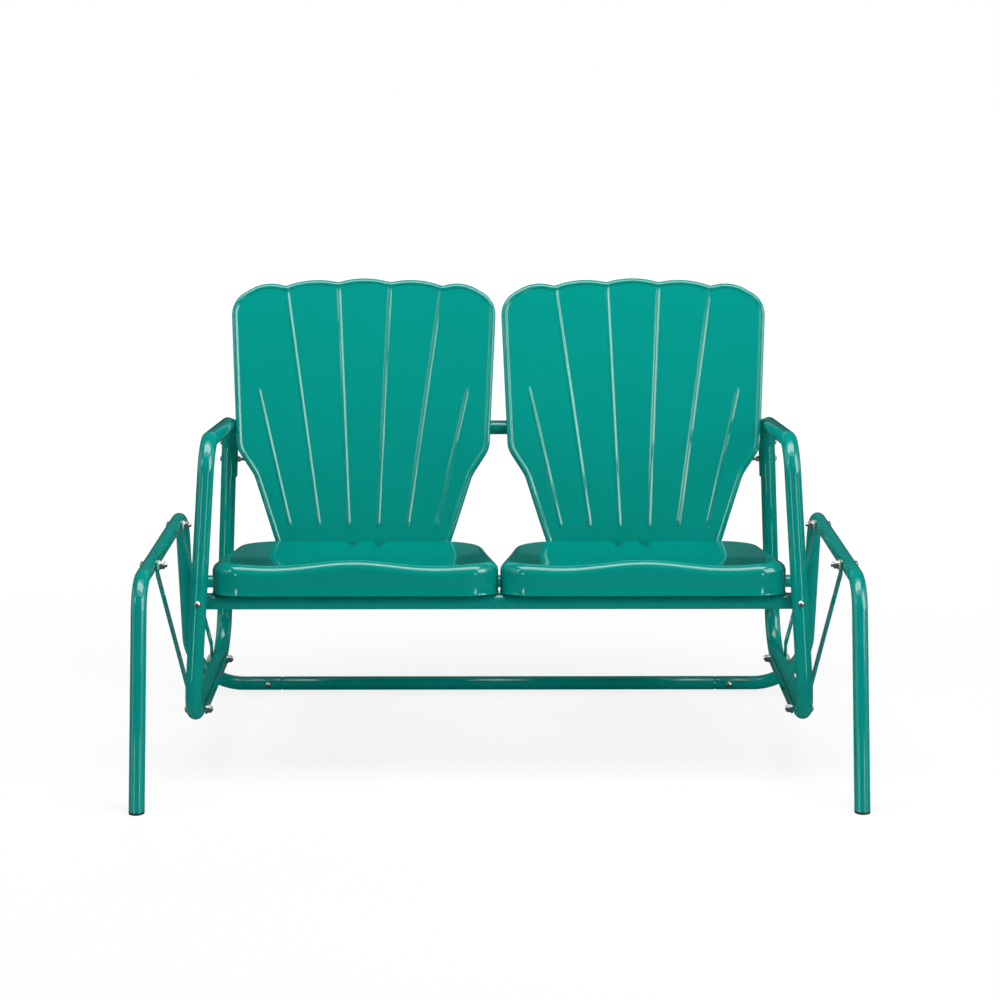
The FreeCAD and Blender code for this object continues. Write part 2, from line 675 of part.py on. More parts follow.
def front_crossbar():
    hole = post_bolt_hole(front_post_place(FRONT_POST_AT), FRONT_NORMAL, 3 * LOOP_TUBE)
    shape = crossbar(FRONT_CROSSBAR_Y, FRONT_CROSSBAR_HEIGHT, FRONT_CROSSBAR, FRONT_CROSSBAR_END, hole)
    for x in pan_bracket_xs():
        axis = vector(x, FRONT_CROSSBAR_Y, FRONT_CROSSBAR_HEIGHT)
        hole = bar(axis, axis + SLOPE_NORMAL * FRONT_CROSSBAR, FRAME_BOLT / 2 + HOLE_CLEARANCE)
        shape = shape.cut(hole).cut(mirrored(hole))
    return shape


def rear_crossbar():
    hole = post_bolt_hole(rear_post_place(REAR_POST_AT), REAR_NORMAL, 3 * LOOP_TUBE)
    shape = crossbar(REAR_CROSSBAR_Y, REAR_CROSSBAR_HEIGHT, REAR_CROSSBAR, REAR_CROSSBAR_END, hole)
    for x in pan_bracket_xs():
        low = vector(x, REAR_CROSSBAR_Y, REAR_CROSSBAR_HEIGHT - REAR_CROSSBAR)
        hole = bar(low, low + Z_AXIS * (2 * REAR_CROSSBAR), FRAME_BOLT / 2 + HOLE_CLEARANCE)
        shape = shape.cut(hole).cut(mirrored(hole))
    return shape


def crossbar_plug(y, height, diameter, end_x):
    """The plug in the left end of a crossbar: a thin cap with a plug behind it."""
    start = vector(-end_x, y, height)
    cap = bar(start - X_AXIS * SHEET, start, diameter / 2)
    plug = bar(start, start + X_AXIS * PLUG_LENGTH, diameter / 2 - CROSSBAR_WALL - NECK_FIT)
    return cap.fuse(plug).removeSplitter()


def crossbar_plugs():
    front = crossbar_plug(FRONT_CROSSBAR_Y, FRONT_CROSSBAR_HEIGHT, FRONT_CROSSBAR, FRONT_CROSSBAR_END)
    rear = crossbar_plug(REAR_CROSSBAR_Y, REAR_CROSSBAR_HEIGHT, REAR_CROSSBAR, REAR_CROSSBAR_END)
    return both_sides(front) + both_sides(rear)


def front_post_bolt_seat():
    return front_post_place(FRONT_POST_AT) - FRONT_NORMAL * (LOOP_TUBE / 2)


def rear_post_bolt_seat():
    return rear_post_place(REAR_POST_AT) + REAR_NORMAL * (LOOP_TUBE / 2)


def crossbar_bolts():
    """Front bolts go in from the front, rear bolts from the back."""
    tail = NUT_HEIGHT_RATIO * FRAME_BOLT + BOLT_TAIL / 2
    front = domed_bolt(front_post_bolt_seat(), vector(*FRONT_NORMAL), FRAME_BOLT, FRAME_HEAD, FRAME_HEAD_HEIGHT,
                       LOOP_TUBE + FRONT_CROSSBAR + tail)
    rear = domed_bolt(rear_post_bolt_seat(), REAR_NORMAL * -1, FRAME_BOLT, FRAME_HEAD, FRAME_HEAD_HEIGHT,
                      LOOP_TUBE + REAR_CROSSBAR + tail)
    return both_sides(front) + both_sides(rear)


def crossbar_nuts():
    front = lock_nut(front_post_bolt_seat() + FRONT_NORMAL * (LOOP_TUBE + FRONT_CROSSBAR),
                     vector(*FRONT_NORMAL), FRAME_BOLT)
    rear = lock_nut(rear_post_bolt_seat() - REAR_NORMAL * (LOOP_TUBE + REAR_CROSSBAR), REAR_NORMAL * -1, FRAME_BOLT)
    return both_sides(front) + both_sides(rear)


def saddle_sleeve(radius):
    """A bar along the left loop, as thick as the saddle's outside or inside."""
    return round_sweep(loop_path(), radius, X_AXIS)


def saddle():
    """The left saddle: half a sleeve on the inner side of the rear post, up to the back crossbar."""
    high = BACK_CROSSBAR_AXIS.z + BACK_CROSSBAR / 2 + SADDLE_THICKNESS
    sleeve = saddle_sleeve(LOOP_TUBE / 2 + SADDLE_THICKNESS).cut(saddle_sleeve(LOOP_TUBE / 2))
    middle_x = -rear_post_x((SADDLE_LOW + high) / 2)
    reach = 2 * LOOP_TUBE
    start = vector(middle_x, BACK_CROSSBAR_AXIS.y - SADDLE_FRONT, SADDLE_LOW)
    zone = Part.makeBox(reach, 2 * reach, high - SADDLE_LOW, start)
    shape = sleeve.common(zone)
    for height in SADDLE_BOLT_HEIGHTS:
        start = saddle_bolt_place(height)
        shape = shape.cut(bar(start, start + SADDLE_NORMAL * LOOP_TUBE, FRAME_BOLT / 2 + HOLE_CLEARANCE))
    return shape


def saddle_bolts():
    """Two bolts through the rear post and the saddle of each side, heads outside."""
    shapes = []
    for height in SADDLE_BOLT_HEIGHTS:
        seat = saddle_bolt_place(height) - SADDLE_NORMAL * (LOOP_TUBE / 2)
        length = LOOP_TUBE + SADDLE_THICKNESS + NUT_HEIGHT_RATIO * FRAME_BOLT + 2 * BOLT_TAIL
        bolt = domed_bolt(seat, vector(*SADDLE_NORMAL), FRAME_BOLT, FRAME_HEAD, FRAME_HEAD_HEIGHT, length)
        shapes += both_sides(bolt)
    return shapes


def saddle_nuts():
    shapes = []
    for height in SADDLE_BOLT_HEIGHTS:
        seat = saddle_bolt_place(height) + SADDLE_NORMAL * (LOOP_TUBE / 2 + SADDLE_THICKNESS)
        shapes += both_sides(lock_nut(seat, vector(*SADDLE_NORMAL), FRAME_BOLT))
    return shapes


def back_crossbar():
    """The left half of the crossbar behind the backs, coped onto the saddle."""
    axis = BACK_CROSSBAR_AXIS
    end = vector(-rear_post_x(axis.z), axis.y, axis.z)
    shape = ring(end, axis, BACK_CROSSBAR / 2, BACK_CROSSBAR / 2 - CROSSBAR_WALL)
    shape = shape.cut(saddle_sleeve(LOOP_TUBE / 2 + SADDLE_THICKNESS))
    solids = sorted(shape.Solids, key=lambda solid: solid.Volume)
    shape = solids[-1]
    for x in back_stud_xs():
        place = back_point(x, BACK_CROSSBAR_UP)
        reach = BACK_REARWARD * (2 * BACK_CROSSBAR_BEHIND)
        shape = shape.cut(bar(place, place + reach, FRAME_BOLT / 2 + HOLE_CLEARANCE))
    return shape


def joint_sleeve():
    """The sleeve inside the middle joint of the back crossbar."""
    axis = BACK_CROSSBAR_AXIS
    radius = BACK_CROSSBAR / 2 - CROSSBAR_WALL - NECK_FIT
    half = vector(JOINT_SLEEVE_LENGTH / 2, 0, 0)
    return ring(axis - half, axis + half, radius, radius - CROSSBAR_WALL)


# Pressed pans

def pan_outline(inset):
    """The left pan seen from above: rounded, and narrower at the back, most of all on its inner side."""
    length = PAN_REAR_Y - PAN_FRONT_Y
    outer = PAN_WIDTH / 2 + PAN_OUTER_NARROWING * PAN_FRONT_CORNER / length - inset
    inner = PAN_WIDTH / 2 + PAN_INNER_NARROWING * PAN_FRONT_CORNER / length - inset
    y_front = PAN_FRONT_Y + inset
    y_rear = PAN_REAR_Y - inset
    points = [vector(-outer, y_front, 0), vector(inner, y_front, 0),
              vector(inner - PAN_INNER_NARROWING, y_rear, 0), vector(-outer + PAN_OUTER_NARROWING, y_rear, 0)]
    corners = [PAN_FRONT_CORNER, PAN_FRONT_CORNER, PAN_INNER_REAR_CORNER, PAN_REAR_CORNER]
    return rounded_path(points, [radius - inset for radius in corners], closed=True)


def pan_top_height(across, y):
    """The seat surface: a sloping plane, dished in the middle, with a waved front edge."""
    share = (y - PAN_FRONT_Y) / (PAN_REAR_Y - PAN_FRONT_Y)
    side = across / (PAN_WIDTH / 2)
    dish = PAN_DISH * math.sin(math.pi * min(max(share, 0), 1)) * (1 - side * side)
    wave = PAN_WAVE * math.cos(2 * math.pi * across / (0.66 * PAN_WIDTH)) * math.exp(-3 * share)
    return rim_height(y) + PAN_DEPTH - dish + wave * max(1 - side * side, 0)


def pan_top_surface(drop):
    """The seat surface as one smooth face that overhangs the outline, lowered by drop."""
    columns = 13
    rows = 11
    half = PAN_WIDTH * 0.58
    y_low = PAN_FRONT_Y - 0.08 * (PAN_REAR_Y - PAN_FRONT_Y)
    y_high = PAN_REAR_Y + 0.08 * (PAN_REAR_Y - PAN_FRONT_Y)
    grid = []
    for row in range(rows):
        y = y_low + (y_high - y_low) * row / (rows - 1)
        line = []
        for column in range(columns):
            x = -half + 2 * half * column / (columns - 1)
            line.append(vector(x, y, pan_top_height(x, y) - drop))
        grid.append(line)
    surface = Part.BSplineSurface()
    surface.interpolate(grid)
    return surface.toShape()


def below_surface(drop):
    """Everything under the seat surface."""
    return pan_top_surface(drop).extrude(vector(0, 0, -2 * PAN_DEPTH - 0.5 * PAN_WIDTH))


def above_rim():
    """Everything over the rim plane, as a tilted block."""
    size = 2 * PAN_WIDTH
    block = Part.makeBox(size, size, size, vector(-size / 2, -size / 2, 0))
    block.rotate(ORIGIN, X_AXIS, -PAN_SLOPE)
    block.translate(vector(0, FRONT_CROSSBAR_Y, PAN_RIM_AT_FRONT_BAR))
    return block


def pan_block(inset, drop):
    """The room inside an outline, under the seat surface and over the floor."""
    wall = pan_outline(inset)
    column = prism(wall, vector(0, 0, 3 * PAN_WIDTH))
    column.translate(vector(0, 0, -PAN_WIDTH / 2))
    return column.common(below_surface(drop))


def round_top_edge(block, radius):
    """Rounds the edge between the seat surface and the walls."""
    edges = []
    for edge in block.Edges:
        middle = edge.valueAt((edge.FirstParameter + edge.LastParameter) / 2)
        box = edge.BoundBox
        flat = box.ZLength < 0.5 * PAN_DEPTH + PAN_RISE * box.YLength
        if flat and middle.z > rim_height(middle.y) + PAN_DEPTH / 2:
            edges.append(edge)
    return block.makeFillet(radius, edges)


def seat_pan():
    """The left pan: a pressed sheet with a turned-down skirt that stands on the front crossbar."""
    outer = round_top_edge(pan_block(0, 0), PAN_EDGE_RADIUS).common(above_rim())
    inner = round_top_edge(pan_block(SHEET, SHEET), PAN_EDGE_RADIUS - SHEET)
    shape = outer.cut(inner)
    shape.translate(vector(-PAN_CENTRE_X, 0, 0))
    for x in foot_bolt_xs():
        shape = shape.cut(foot_bolt_hole(x))
    return shape


# Pressed backs, drawn in their own leaning plane

def crown_height(across):
    """The height of the hollows between the lobes of the top edge."""
    share = across / (BACK_WIDTH / 2)
    return BACK_HEIGHT - BACK_LOBE_RISE - BACK_CROWN * share * share


def lobe_pitch():
    """From hollow to hollow. The two lobes at the corners are a little wider than the others."""
    return (BACK_WIDTH - 2 * BACK_CORNER_LOBE_EXTRA) / BACK_LOBES


def cusps():
    """The hollows between the lobes, from the middle of the back outwards on one side."""
    first = 0.5 if BACK_LOBES % 2 else 1.0
    places = []
    across = first * lobe_pitch()
    while across < BACK_WIDTH / 2 - BACK_CORNER_LOBE_EXTRA - 0.5 * lobe_pitch():
        places.append(across)
        across += lobe_pitch()
    return places


def lobe_top(low, high):
    """The corner over one lobe, from the hollows beside it, and the radius that rounds it."""
    middle = (low + high) / 2
    chord_height = (crown_height(low) + crown_height(high)) / 2
    sagitta = crown_height(middle) + BACK_LOBE_RISE - chord_height
    half = (high - low) / 2
    turn = math.atan2(2 * sagitta, half)
    reach = 0.93 * half
    return (middle, chord_height + 2 * sagitta), reach / math.tan(turn)


def top_corners():
    """Corners and radii of the right half of the top edge, from the side to the middle."""
    places = cusps()
    half = BACK_WIDTH / 2
    outer = places[-1]
    found = [((half, crown_height(half) - 2 * BACK_LOBE_RISE), BACK_TOP_CORNER),
             ((outer + 0.37 * lobe_pitch(), crown_height(outer) + 1.6 * BACK_LOBE_RISE), 0.76 * lobe_pitch())]
    for index in range(len(places) - 1, -1, -1):
        found.append(((places[index], crown_height(places[index])), BACK_CUSP_RADIUS))
        if index > 0:
            found.append(lobe_top(places[index - 1], places[index]))
    return found


def back_outline(foot):
    """The outline of a back as a wire in its plane, down to a line that is foot below its base."""
    flare = (BACK_WAIST_WIDTH - BACK_FOOT_WIDTH) / 2 / BACK_WAIST_AT
    half = [((BACK_FOOT_WIDTH / 2 - flare * foot, -foot), SHEET),
            ((BACK_WAIST_WIDTH / 2, BACK_WAIST_AT), BACK_WAIST_BEND),
            ((BACK_SHOULDER_WIDTH / 2, BACK_SHOULDER_AT), BACK_SHOULDER_BEND)] + top_corners()
    middle = [lobe_top(-cusps()[0], cusps()[0])] if BACK_LOBES % 2 else [((0, crown_height(0)), BACK_CUSP_RADIUS)]
    left = [((-x, up), radius) for (x, up), radius in reversed(half)]
    corners = half + middle + left
    points = [back_point(x, up, -BACK_ROOM) for (x, up), radius in corners]
    return rounded_path(points, [radius for place, radius in corners], closed=True)


def back_depth(across, up):
    """How far the sheet stands behind its plane: it curves forward to both sides, except at its foot."""
    share = min(max(up / (0.4 * BACK_HEIGHT), 0), 1)
    return -across * across / (2 * BACK_CURVE_RADIUS) * share * share * (3 - 2 * share)


def back_slab(front, rear):
    """The room between two copies of the sheet's surface, front and rear behind its face."""
    columns = 11
    rows = 13
    half = 0.56 * BACK_WIDTH
    grid = []
    for row in range(rows):
        up = -0.1 * BACK_HEIGHT + 1.2 * BACK_HEIGHT * row / (rows - 1)
        line = []
        for column in range(columns):
            x = -half + 2 * half * column / (columns - 1)
            line.append(back_point(x, up, back_depth(x, up) + front))
        grid.append(line)
    surface = Part.BSplineSurface()
    surface.interpolate(grid)
    return surface.toShape().extrude(BACK_REARWARD * (rear - front))


def over_foot():
    """Everything above the base line of a back."""
    size = 2 * BACK_HEIGHT
    block = Part.makeBox(size, size, size, vector(-size / 2, -size / 2, 0))
    block.rotate(ORIGIN, X_AXIS, -BACK_RECLINE)
    block.translate(vector(0, BACK_FOOT_Y, BACK_FOOT_Z))
    return block


def rib_lines():
    """Both ends of each rib: long ones from the hollows of the top edge, short ones beside them."""
    lines = [((SHORT_RIB_TOP_WIDTH / 2, SHORT_RIB_TOP_AT), (SHORT_RIB_FOOT_WIDTH / 2, RIB_FOOT_AT))]
    for across in cusps():
        lines.append(((across, crown_height(across) - RIB_TOP_MARGIN), (RIB_GATHER * across, RIB_FOOT_AT)))
    return lines + [((-high[0], high[1]), (-low[0], low[1])) for high, low in lines]


def rib_prism(line, inset):
    """The room of one rib, a long oval in the plane of the back."""
    high = back_point(line[0][0], line[0][1], -BACK_ROOM)
    low = back_point(line[1][0], line[1][1], -BACK_ROOM)
    along = (high - low).normalize()
    side = along.cross(BACK_REARWARD).normalize() * (RIB_WIDTH / 2 - inset)
    tip = along * (RIB_WIDTH / 2 - inset)
    edges = [Part.LineSegment(low + side, high + side).toShape(),
             Part.Arc(high + side, high + tip, high - side).toShape(),
             Part.LineSegment(high - side, low - side).toShape(),
             Part.Arc(low - side, low - tip, low + side).toShape()]
    return prism(Part.Wire(edges), BACK_REARWARD * (2 * BACK_ROOM))


def back_lip():
    """The flat foot of a back, upright behind the pan's rear skirt."""
    top = BACK_FOOT_WIDTH / 2
    low = top - BACK_LIP / 2
    low_z = BACK_FOOT_Z - BACK_LIP
    points = [vector(-low, BACK_FOOT_Y, low_z), vector(low, BACK_FOOT_Y, low_z),
              vector(top, BACK_FOOT_Y, BACK_FOOT_Z), vector(-top, BACK_FOOT_Y, BACK_FOOT_Z)]
    outline = rounded_path(points, [BACK_LIP / 4, BACK_LIP / 4, SHEET / 4, SHEET / 4], closed=True)
    return prism(outline, Y_AXIS * SHEET)


def seat_back():
    """The left back: a pressed sheet with a rim turned back, ribs and a flat foot."""
    outline = back_outline(BACK_RIM_DEPTH)
    reach = BACK_REARWARD * (2 * BACK_ROOM)
    outer = prism(outline, reach).common(back_slab(0, BACK_RIM_DEPTH))
    inset = outline.makeOffset2D(-SHEET)
    inner = prism(inset, reach).common(back_slab(SHEET, 2 * BACK_RIM_DEPTH))
    shape = outer.cut(inner).common(over_foot())
    high = back_slab(-RIB_HEIGHT, SHEET / 2)
    hollow = back_slab(SHEET - RIB_HEIGHT, 2 * SHEET)
    ribs = [rib_prism(line, 0).common(high) for line in rib_lines()]
    hollows = [rib_prism(line, SHEET).common(hollow) for line in rib_lines()]
    shape = shape.fuse(ribs).cut(hollows)
    shape = shape.fuse(back_lip())
    shape.translate(vector(-BACK_SPACING / 2, 0, 0))
    for x in foot_bolt_xs():
        shape = shape.cut(foot_bolt_hole(x))
    return shape


# Fixings of pans and backs

def pan_bracket_xs():
    """Where the left pan's brackets stand."""
    return [-PAN_CENTRE_X - PAN_BRACKET_SPREAD / 2, -PAN_CENTRE_X + PAN_BRACKET_SPREAD / 2]


def foot_bolt_xs():
    """Where the bolts through the left pan's rear skirt and the back's foot are."""
    return pan_bracket_xs() + [-PAN_CENTRE_X]


def foot_bolt_height():
    return BACK_FOOT_Z - 0.6 * BACK_LIP


def foot_bolt_hole(x):
    start = vector(x, PAN_REAR_Y - 20, foot_bolt_height())
    return bar(start, start + Y_AXIS * 40, FRAME_BOLT / 2 + HOLE_CLEARANCE)


def bent_strip(x, points):
    """A bent strip of the pan brackets' sheet: its middle follows the points."""
    path = rounded_path(points, [PAN_BRACKET_BEND])
    along = (points[1] - points[0]).normalize()
    side = along.cross(X_AXIS).normalize() * (PAN_BRACKET_THICKNESS / 2)
    half = X_AXIS * (PAN_BRACKET_WIDTH / 2)
    corners = [points[0] + side + half, points[0] + side - half, points[0] - side - half, points[0] - side + half]
    return sweep(path, Part.Wire(Part.makePolygon(corners + corners[:1])))


def front_pan_bracket(x):
    """An angle inside the pan: upright on the front skirt, then along the rim onto the crossbar."""
    y = PAN_FRONT_Y + SHEET + PAN_BRACKET_THICKNESS / 2
    axis = vector(x, FRONT_CROSSBAR_Y, FRONT_CROSSBAR_HEIGHT)
    on_bar = axis + SLOPE_NORMAL * (FRONT_CROSSBAR / 2 + PAN_BRACKET_THICKNESS / 2)
    corner = on_bar - SLOPE_REARWARD * ((on_bar.y - y) / SLOPE_REARWARD.y)
    points = [corner + Z_AXIS * PAN_BRACKET_RISE, corner, on_bar + SLOPE_REARWARD * PAN_BRACKET_OVERRUN]
    hole = bar(axis, axis + SLOPE_NORMAL * FRONT_CROSSBAR, FRAME_BOLT / 2 + HOLE_CLEARANCE)
    return bent_strip(x, points).cut(hole)


def rear_pan_bracket(x):
    """An angle behind the back's foot: upright on the foot, then level onto the rear crossbar."""
    y = PAN_REAR_Y + SHEET + PAN_BRACKET_THICKNESS / 2
    level = REAR_CROSSBAR_HEIGHT + REAR_CROSSBAR / 2 + PAN_BRACKET_THICKNESS / 2
    points = [vector(x, y, foot_bolt_height() + FRAME_HEAD), vector(x, y, level),
              vector(x, REAR_CROSSBAR_Y + PAN_BRACKET_OVERRUN, level)]
    axis = vector(x, REAR_CROSSBAR_Y, REAR_CROSSBAR_HEIGHT)
    hole = bar(axis, axis + Z_AXIS * REAR_CROSSBAR, FRAME_BOLT / 2 + HOLE_CLEARANCE)
    return bent_strip(x, points).cut(hole).cut(foot_bolt_hole(x))


def at_brackets(maker):
    """One piece at each bracket of both pans."""
    shapes = []
    for x in pan_bracket_xs():
        shapes += both_sides(maker(x))
    return shapes


def front_bracket_screw(x):
    """A screw from inside the pan through a bracket into the top wall of the front crossbar."""
    axis = vector(x, FRONT_CROSSBAR_Y, FRONT_CROSSBAR_HEIGHT)
    seat = axis + SLOPE_NORMAL * (FRONT_CROSSBAR / 2 + PAN_BRACKET_THICKNESS)
    length = PAN_BRACKET_THICKNESS + CROSSBAR_WALL + PAN_SCREW_REACH
    return domed_bolt(seat, SLOPE_NORMAL * -1, FRAME_BOLT, FRAME_HEAD, FRAME_HEAD_HEIGHT, length)


def rear_bracket_bolt(x):
    """A bolt down through a bracket and the rear crossbar."""
    seat = vector(x, REAR_CROSSBAR_Y, REAR_CROSSBAR_HEIGHT + REAR_CROSSBAR / 2 + PAN_BRACKET_THICKNESS)
    length = PAN_BRACKET_THICKNESS + REAR_CROSSBAR + NUT_HEIGHT_RATIO * FRAME_BOLT + BOLT_TAIL / 2
    return domed_bolt(seat, vector(0, 0, -1), FRAME_BOLT, FRAME_HEAD, FRAME_HEAD_HEIGHT, length)


def rear_bracket_nut(x):
    seat = vector(x, REAR_CROSSBAR_Y, REAR_CROSSBAR_HEIGHT - REAR_CROSSBAR / 2)
    return lock_nut(seat, vector(0, 0, -1), FRAME_BOLT)


def foot_stack(x):
    """The thickness that a foot bolt holds together: skirt, foot and, at a bracket, the bracket."""
    return 2 * SHEET + (PAN_BRACKET_THICKNESS if x in pan_bracket_xs() else 0)


def foot_bolts():
    shapes = []
    for x in foot_bolt_xs():
        seat = vector(x, PAN_REAR_Y - SHEET, foot_bolt_height())
        length = foot_stack(x) + NUT_HEIGHT_RATIO * FRAME_BOLT + BOLT_TAIL / 2
        shapes += both_sides(domed_bolt(seat, vector(0, 1, 0), FRAME_BOLT, FRAME_HEAD, FRAME_HEAD_HEIGHT, length))
    return shapes


def foot_nuts():
    shapes = []
    for x in foot_bolt_xs():
        seat = vector(x, PAN_REAR_Y - SHEET + foot_stack(x), foot_bolt_height())
        shapes += both_sides(lock_nut(seat, vector(0, 1, 0), FRAME_BOLT))
    return shapes


def back_stud_xs():
    """Where the studs of the left back go through the crossbar."""
    return [-BACK_SPACING / 2 - BACK_PAD_SPREAD / 2, -BACK_SPACING / 2 + BACK_PAD_SPREAD / 2]


def on_back(x, radius, behind, clearance=0.0):
    """A bar from the back's sheet to a distance behind its face, square to its plane."""
    sheet = back_slab(-BACK_CROSSBAR_BEHIND, SHEET + clearance)
    sheet.translate(vector(-BACK_SPACING / 2, 0, 0))
    start = back_point(x, BACK_CROSSBAR_UP, -BACK_CROSSBAR_BEHIND / 2)
    return bar(start, back_point(x, BACK_CROSSBAR_UP, behind), radius).cut(sheet)


def back_pads():
    """Shaped pads between the sheet of each back and its crossbar."""
    shapes = []
    end = vector(-BACK_SPACING, BACK_CROSSBAR_AXIS.y, BACK_CROSSBAR_AXIS.z)
    room = bar(end, BACK_CROSSBAR_AXIS, BACK_CROSSBAR / 2)
    for x in back_stud_xs():
        place = back_point(x, BACK_CROSSBAR_UP)
        reach = BACK_REARWARD * BACK_CROSSBAR
        hole = bar(place - reach, place + reach, FRAME_BOLT / 2)
        pad = on_back(x, BACK_PAD_DIAMETER / 2, BACK_CROSSBAR_BEHIND, BACK_PAD_CLEARANCE)
        shapes += both_sides(pad.cut(room).cut(hole))
    return shapes


def back_studs():
    """Studs welded behind the sheet of each back, through pad and crossbar."""
    shapes = []
    behind = BACK_CROSSBAR_BEHIND + BACK_CROSSBAR / 2 + NUT_HEIGHT_RATIO * FRAME_BOLT + BOLT_TAIL / 2
    for x in back_stud_xs():
        shapes += both_sides(on_back(x, FRAME_BOLT / 2, behind))
    return shapes


def back_nuts():
    shapes = []
    for x in back_stud_xs():
        seat = back_point(x, BACK_CROSSBAR_UP, BACK_CROSSBAR_BEHIND + BACK_CROSSBAR / 2)
        shapes += both_sides(lock_nut(seat, vector(*BACK_REARWARD), FRAME_BOLT))
    return shapes


def export(node, shapes):
    """Writes one node's STEP file."""
    solids = []
    for shape in shapes if isinstance(shapes, list) else [shapes]:
        solids += shape.Solids
    whole = solids[0] if len(solids) == 1 else Part.makeCompound(solids)
    whole.exportStep(os.path.join("parts", node + ".step"))
    print(node, len(solids), "solids, volume", round(whole.Volume / 1000, 1), "cm3, valid", whole.isValid())


def main():
    os.makedirs("parts", exist_ok=True)
    side = base_side()
    export("base_side_left", side)
    export("base_side_right", mirrored(side))
    export("base_stretcher", base_stretcher())
    export("stretcher_bolts", both_sides(stretcher_bolts()))
    export("stretcher_nuts", both_sides(stretcher_nuts()))
    glide = foot_glide()
    export("foot_glide_left", glide)
    export("foot_glide_right", mirrored(glide))
    export("pivot_bolts_top", each_pivot(top_bolt))
    export("pivot_spacers_top", each_pivot(top_spacer))
    export("pivot_washers_top", each_pivot(top_washer))
    export("pivot_nuts_top", each_pivot(top_nut))
    for place, y in (("front", FRONT_PIVOT_Y), ("rear", REAR_PIVOT_Y)):
        link = hanger(y)
        export("hanger_" + place + "_left", link)
        export("hanger_" + place + "_right", mirrored(link))
        bushes = []
        for bush in hanger_bushes(y):
            bushes += both_sides(bush)
        export("hanger_bushes_" + place, bushes)
    export("pivot_bolts_low", each_pivot(low_bolt))
    export("pivot_spacers_low", each_pivot(low_spacer))
    export("pivot_washers_low", each_pivot(low_washer))
    export("pivot_nuts_low", each_pivot(low_nut))
    tie = tie_bar()
    export("tie_bar_left", tie)
    export("tie_bar_right", mirrored(tie))
    loop = side_loop()
    export("side_loop_left", loop)
    export("side_loop_right", mirrored(loop))
    export("front_crossbar", front_crossbar())
    export("rear_crossbar", rear_crossbar())
    export("crossbar_plugs", crossbar_plugs())
    export("crossbar_bolts", crossbar_bolts())
    export("crossbar_nuts", crossbar_nuts())
    bracket = saddle()
    export("saddle_left", bracket)
    export("saddle_right", mirrored(bracket))
    export("saddle_bolts", saddle_bolts())
    export("saddle_nuts", saddle_nuts())
    half = back_crossbar()
    export("back_crossbar_left", half)
    export("back_crossbar_right", mirrored(half))
    export("back_crossbar_sleeve", joint_sleeve())
    pan = seat_pan()
    export("seat_pan_left", pan)
    export("seat_pan_right", mirrored(pan))
    back = seat_back()
    export("seat_back_left", back)
    export("seat_back_right", mirrored(back))
    export("pan_brackets_front", at_brackets(front_pan_bracket))
    export("pan_brackets_rear", at_brackets(rear_pan_bracket))
    export("pan_bolts", at_brackets(front_bracket_screw) + at_brackets(rear_bracket_bolt))
    export("pan_nuts", at_brackets(rear_bracket_nut))
    export("foot_bolts", foot_bolts())
    export("foot_nuts", foot_nuts())
    export("back_pads", back_pads())
    export("back_studs", back_studs())
    export("back_nuts", back_nuts())


main()
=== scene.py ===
"""Looks of a glider bench: pressed steel seats on bent tube, in gloss teal powder paint.

Every size is in millimetres and in the frame of the model: +X to the viewer's right, -Y to the
front, +Z up. Meshes are worked out with numpy and scaled to metres once, when they are made.
"""

from __future__ import annotations

import json
import logging
import math
from dataclasses import dataclass, field
from enum import Enum
from typing import Callable, Optional, Sequence

import bmesh
import bpy
import numpy as np
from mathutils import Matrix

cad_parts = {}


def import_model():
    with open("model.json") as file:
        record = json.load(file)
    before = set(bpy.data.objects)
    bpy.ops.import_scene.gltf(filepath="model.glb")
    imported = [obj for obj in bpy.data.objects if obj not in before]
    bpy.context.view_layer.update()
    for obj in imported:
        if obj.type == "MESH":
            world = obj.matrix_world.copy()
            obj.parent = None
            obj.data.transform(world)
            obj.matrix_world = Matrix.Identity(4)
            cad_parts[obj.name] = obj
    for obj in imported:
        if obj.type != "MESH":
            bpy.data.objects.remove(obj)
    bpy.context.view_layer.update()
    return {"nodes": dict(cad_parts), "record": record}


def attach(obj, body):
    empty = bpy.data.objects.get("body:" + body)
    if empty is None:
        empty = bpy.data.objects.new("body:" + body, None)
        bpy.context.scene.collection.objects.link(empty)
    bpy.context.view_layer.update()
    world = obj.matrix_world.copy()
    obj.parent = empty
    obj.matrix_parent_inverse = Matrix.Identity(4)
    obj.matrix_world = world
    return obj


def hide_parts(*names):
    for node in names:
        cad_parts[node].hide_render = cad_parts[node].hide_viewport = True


LOG = logging.getLogger("glider_bench")
MM = 0.001
MERGE_DISTANCE = 0.002 * MM
SLIVER_LENGTH = 0.001 * MM
NEVER_SHARP = 180.0
Array = np.ndarray


class Side(Enum):
    """A side of the bench, as the sign of its X."""

    LEFT = -1
    RIGHT = 1


class Reach(Enum):
    """What a lamp gives: even light and reflections, or one of the two."""

    ALL = "all"
    EVEN = "even"
    GLOSS = "gloss"


# Colours, shader nodes and finishes


def linear_rgb(hex_colour: str) -> tuple[float, float, float, float]:
    """Turns an sRGB hex value into a linear colour.

    Args:
        hex_colour: six hex digits.

    Returns:
        Red, green, blue and an alpha of 1, as the shaders take them.
    """
    levels = np.array([int(hex_colour[at:at + 2], 16) for at in (0, 2, 4)]) / 255
    linear = np.where(levels <= 0.04045, levels / 12.92, ((levels + 0.055) / 1.055) ** 2.4)
    return (*(float(level) for level in linear), 1.0)


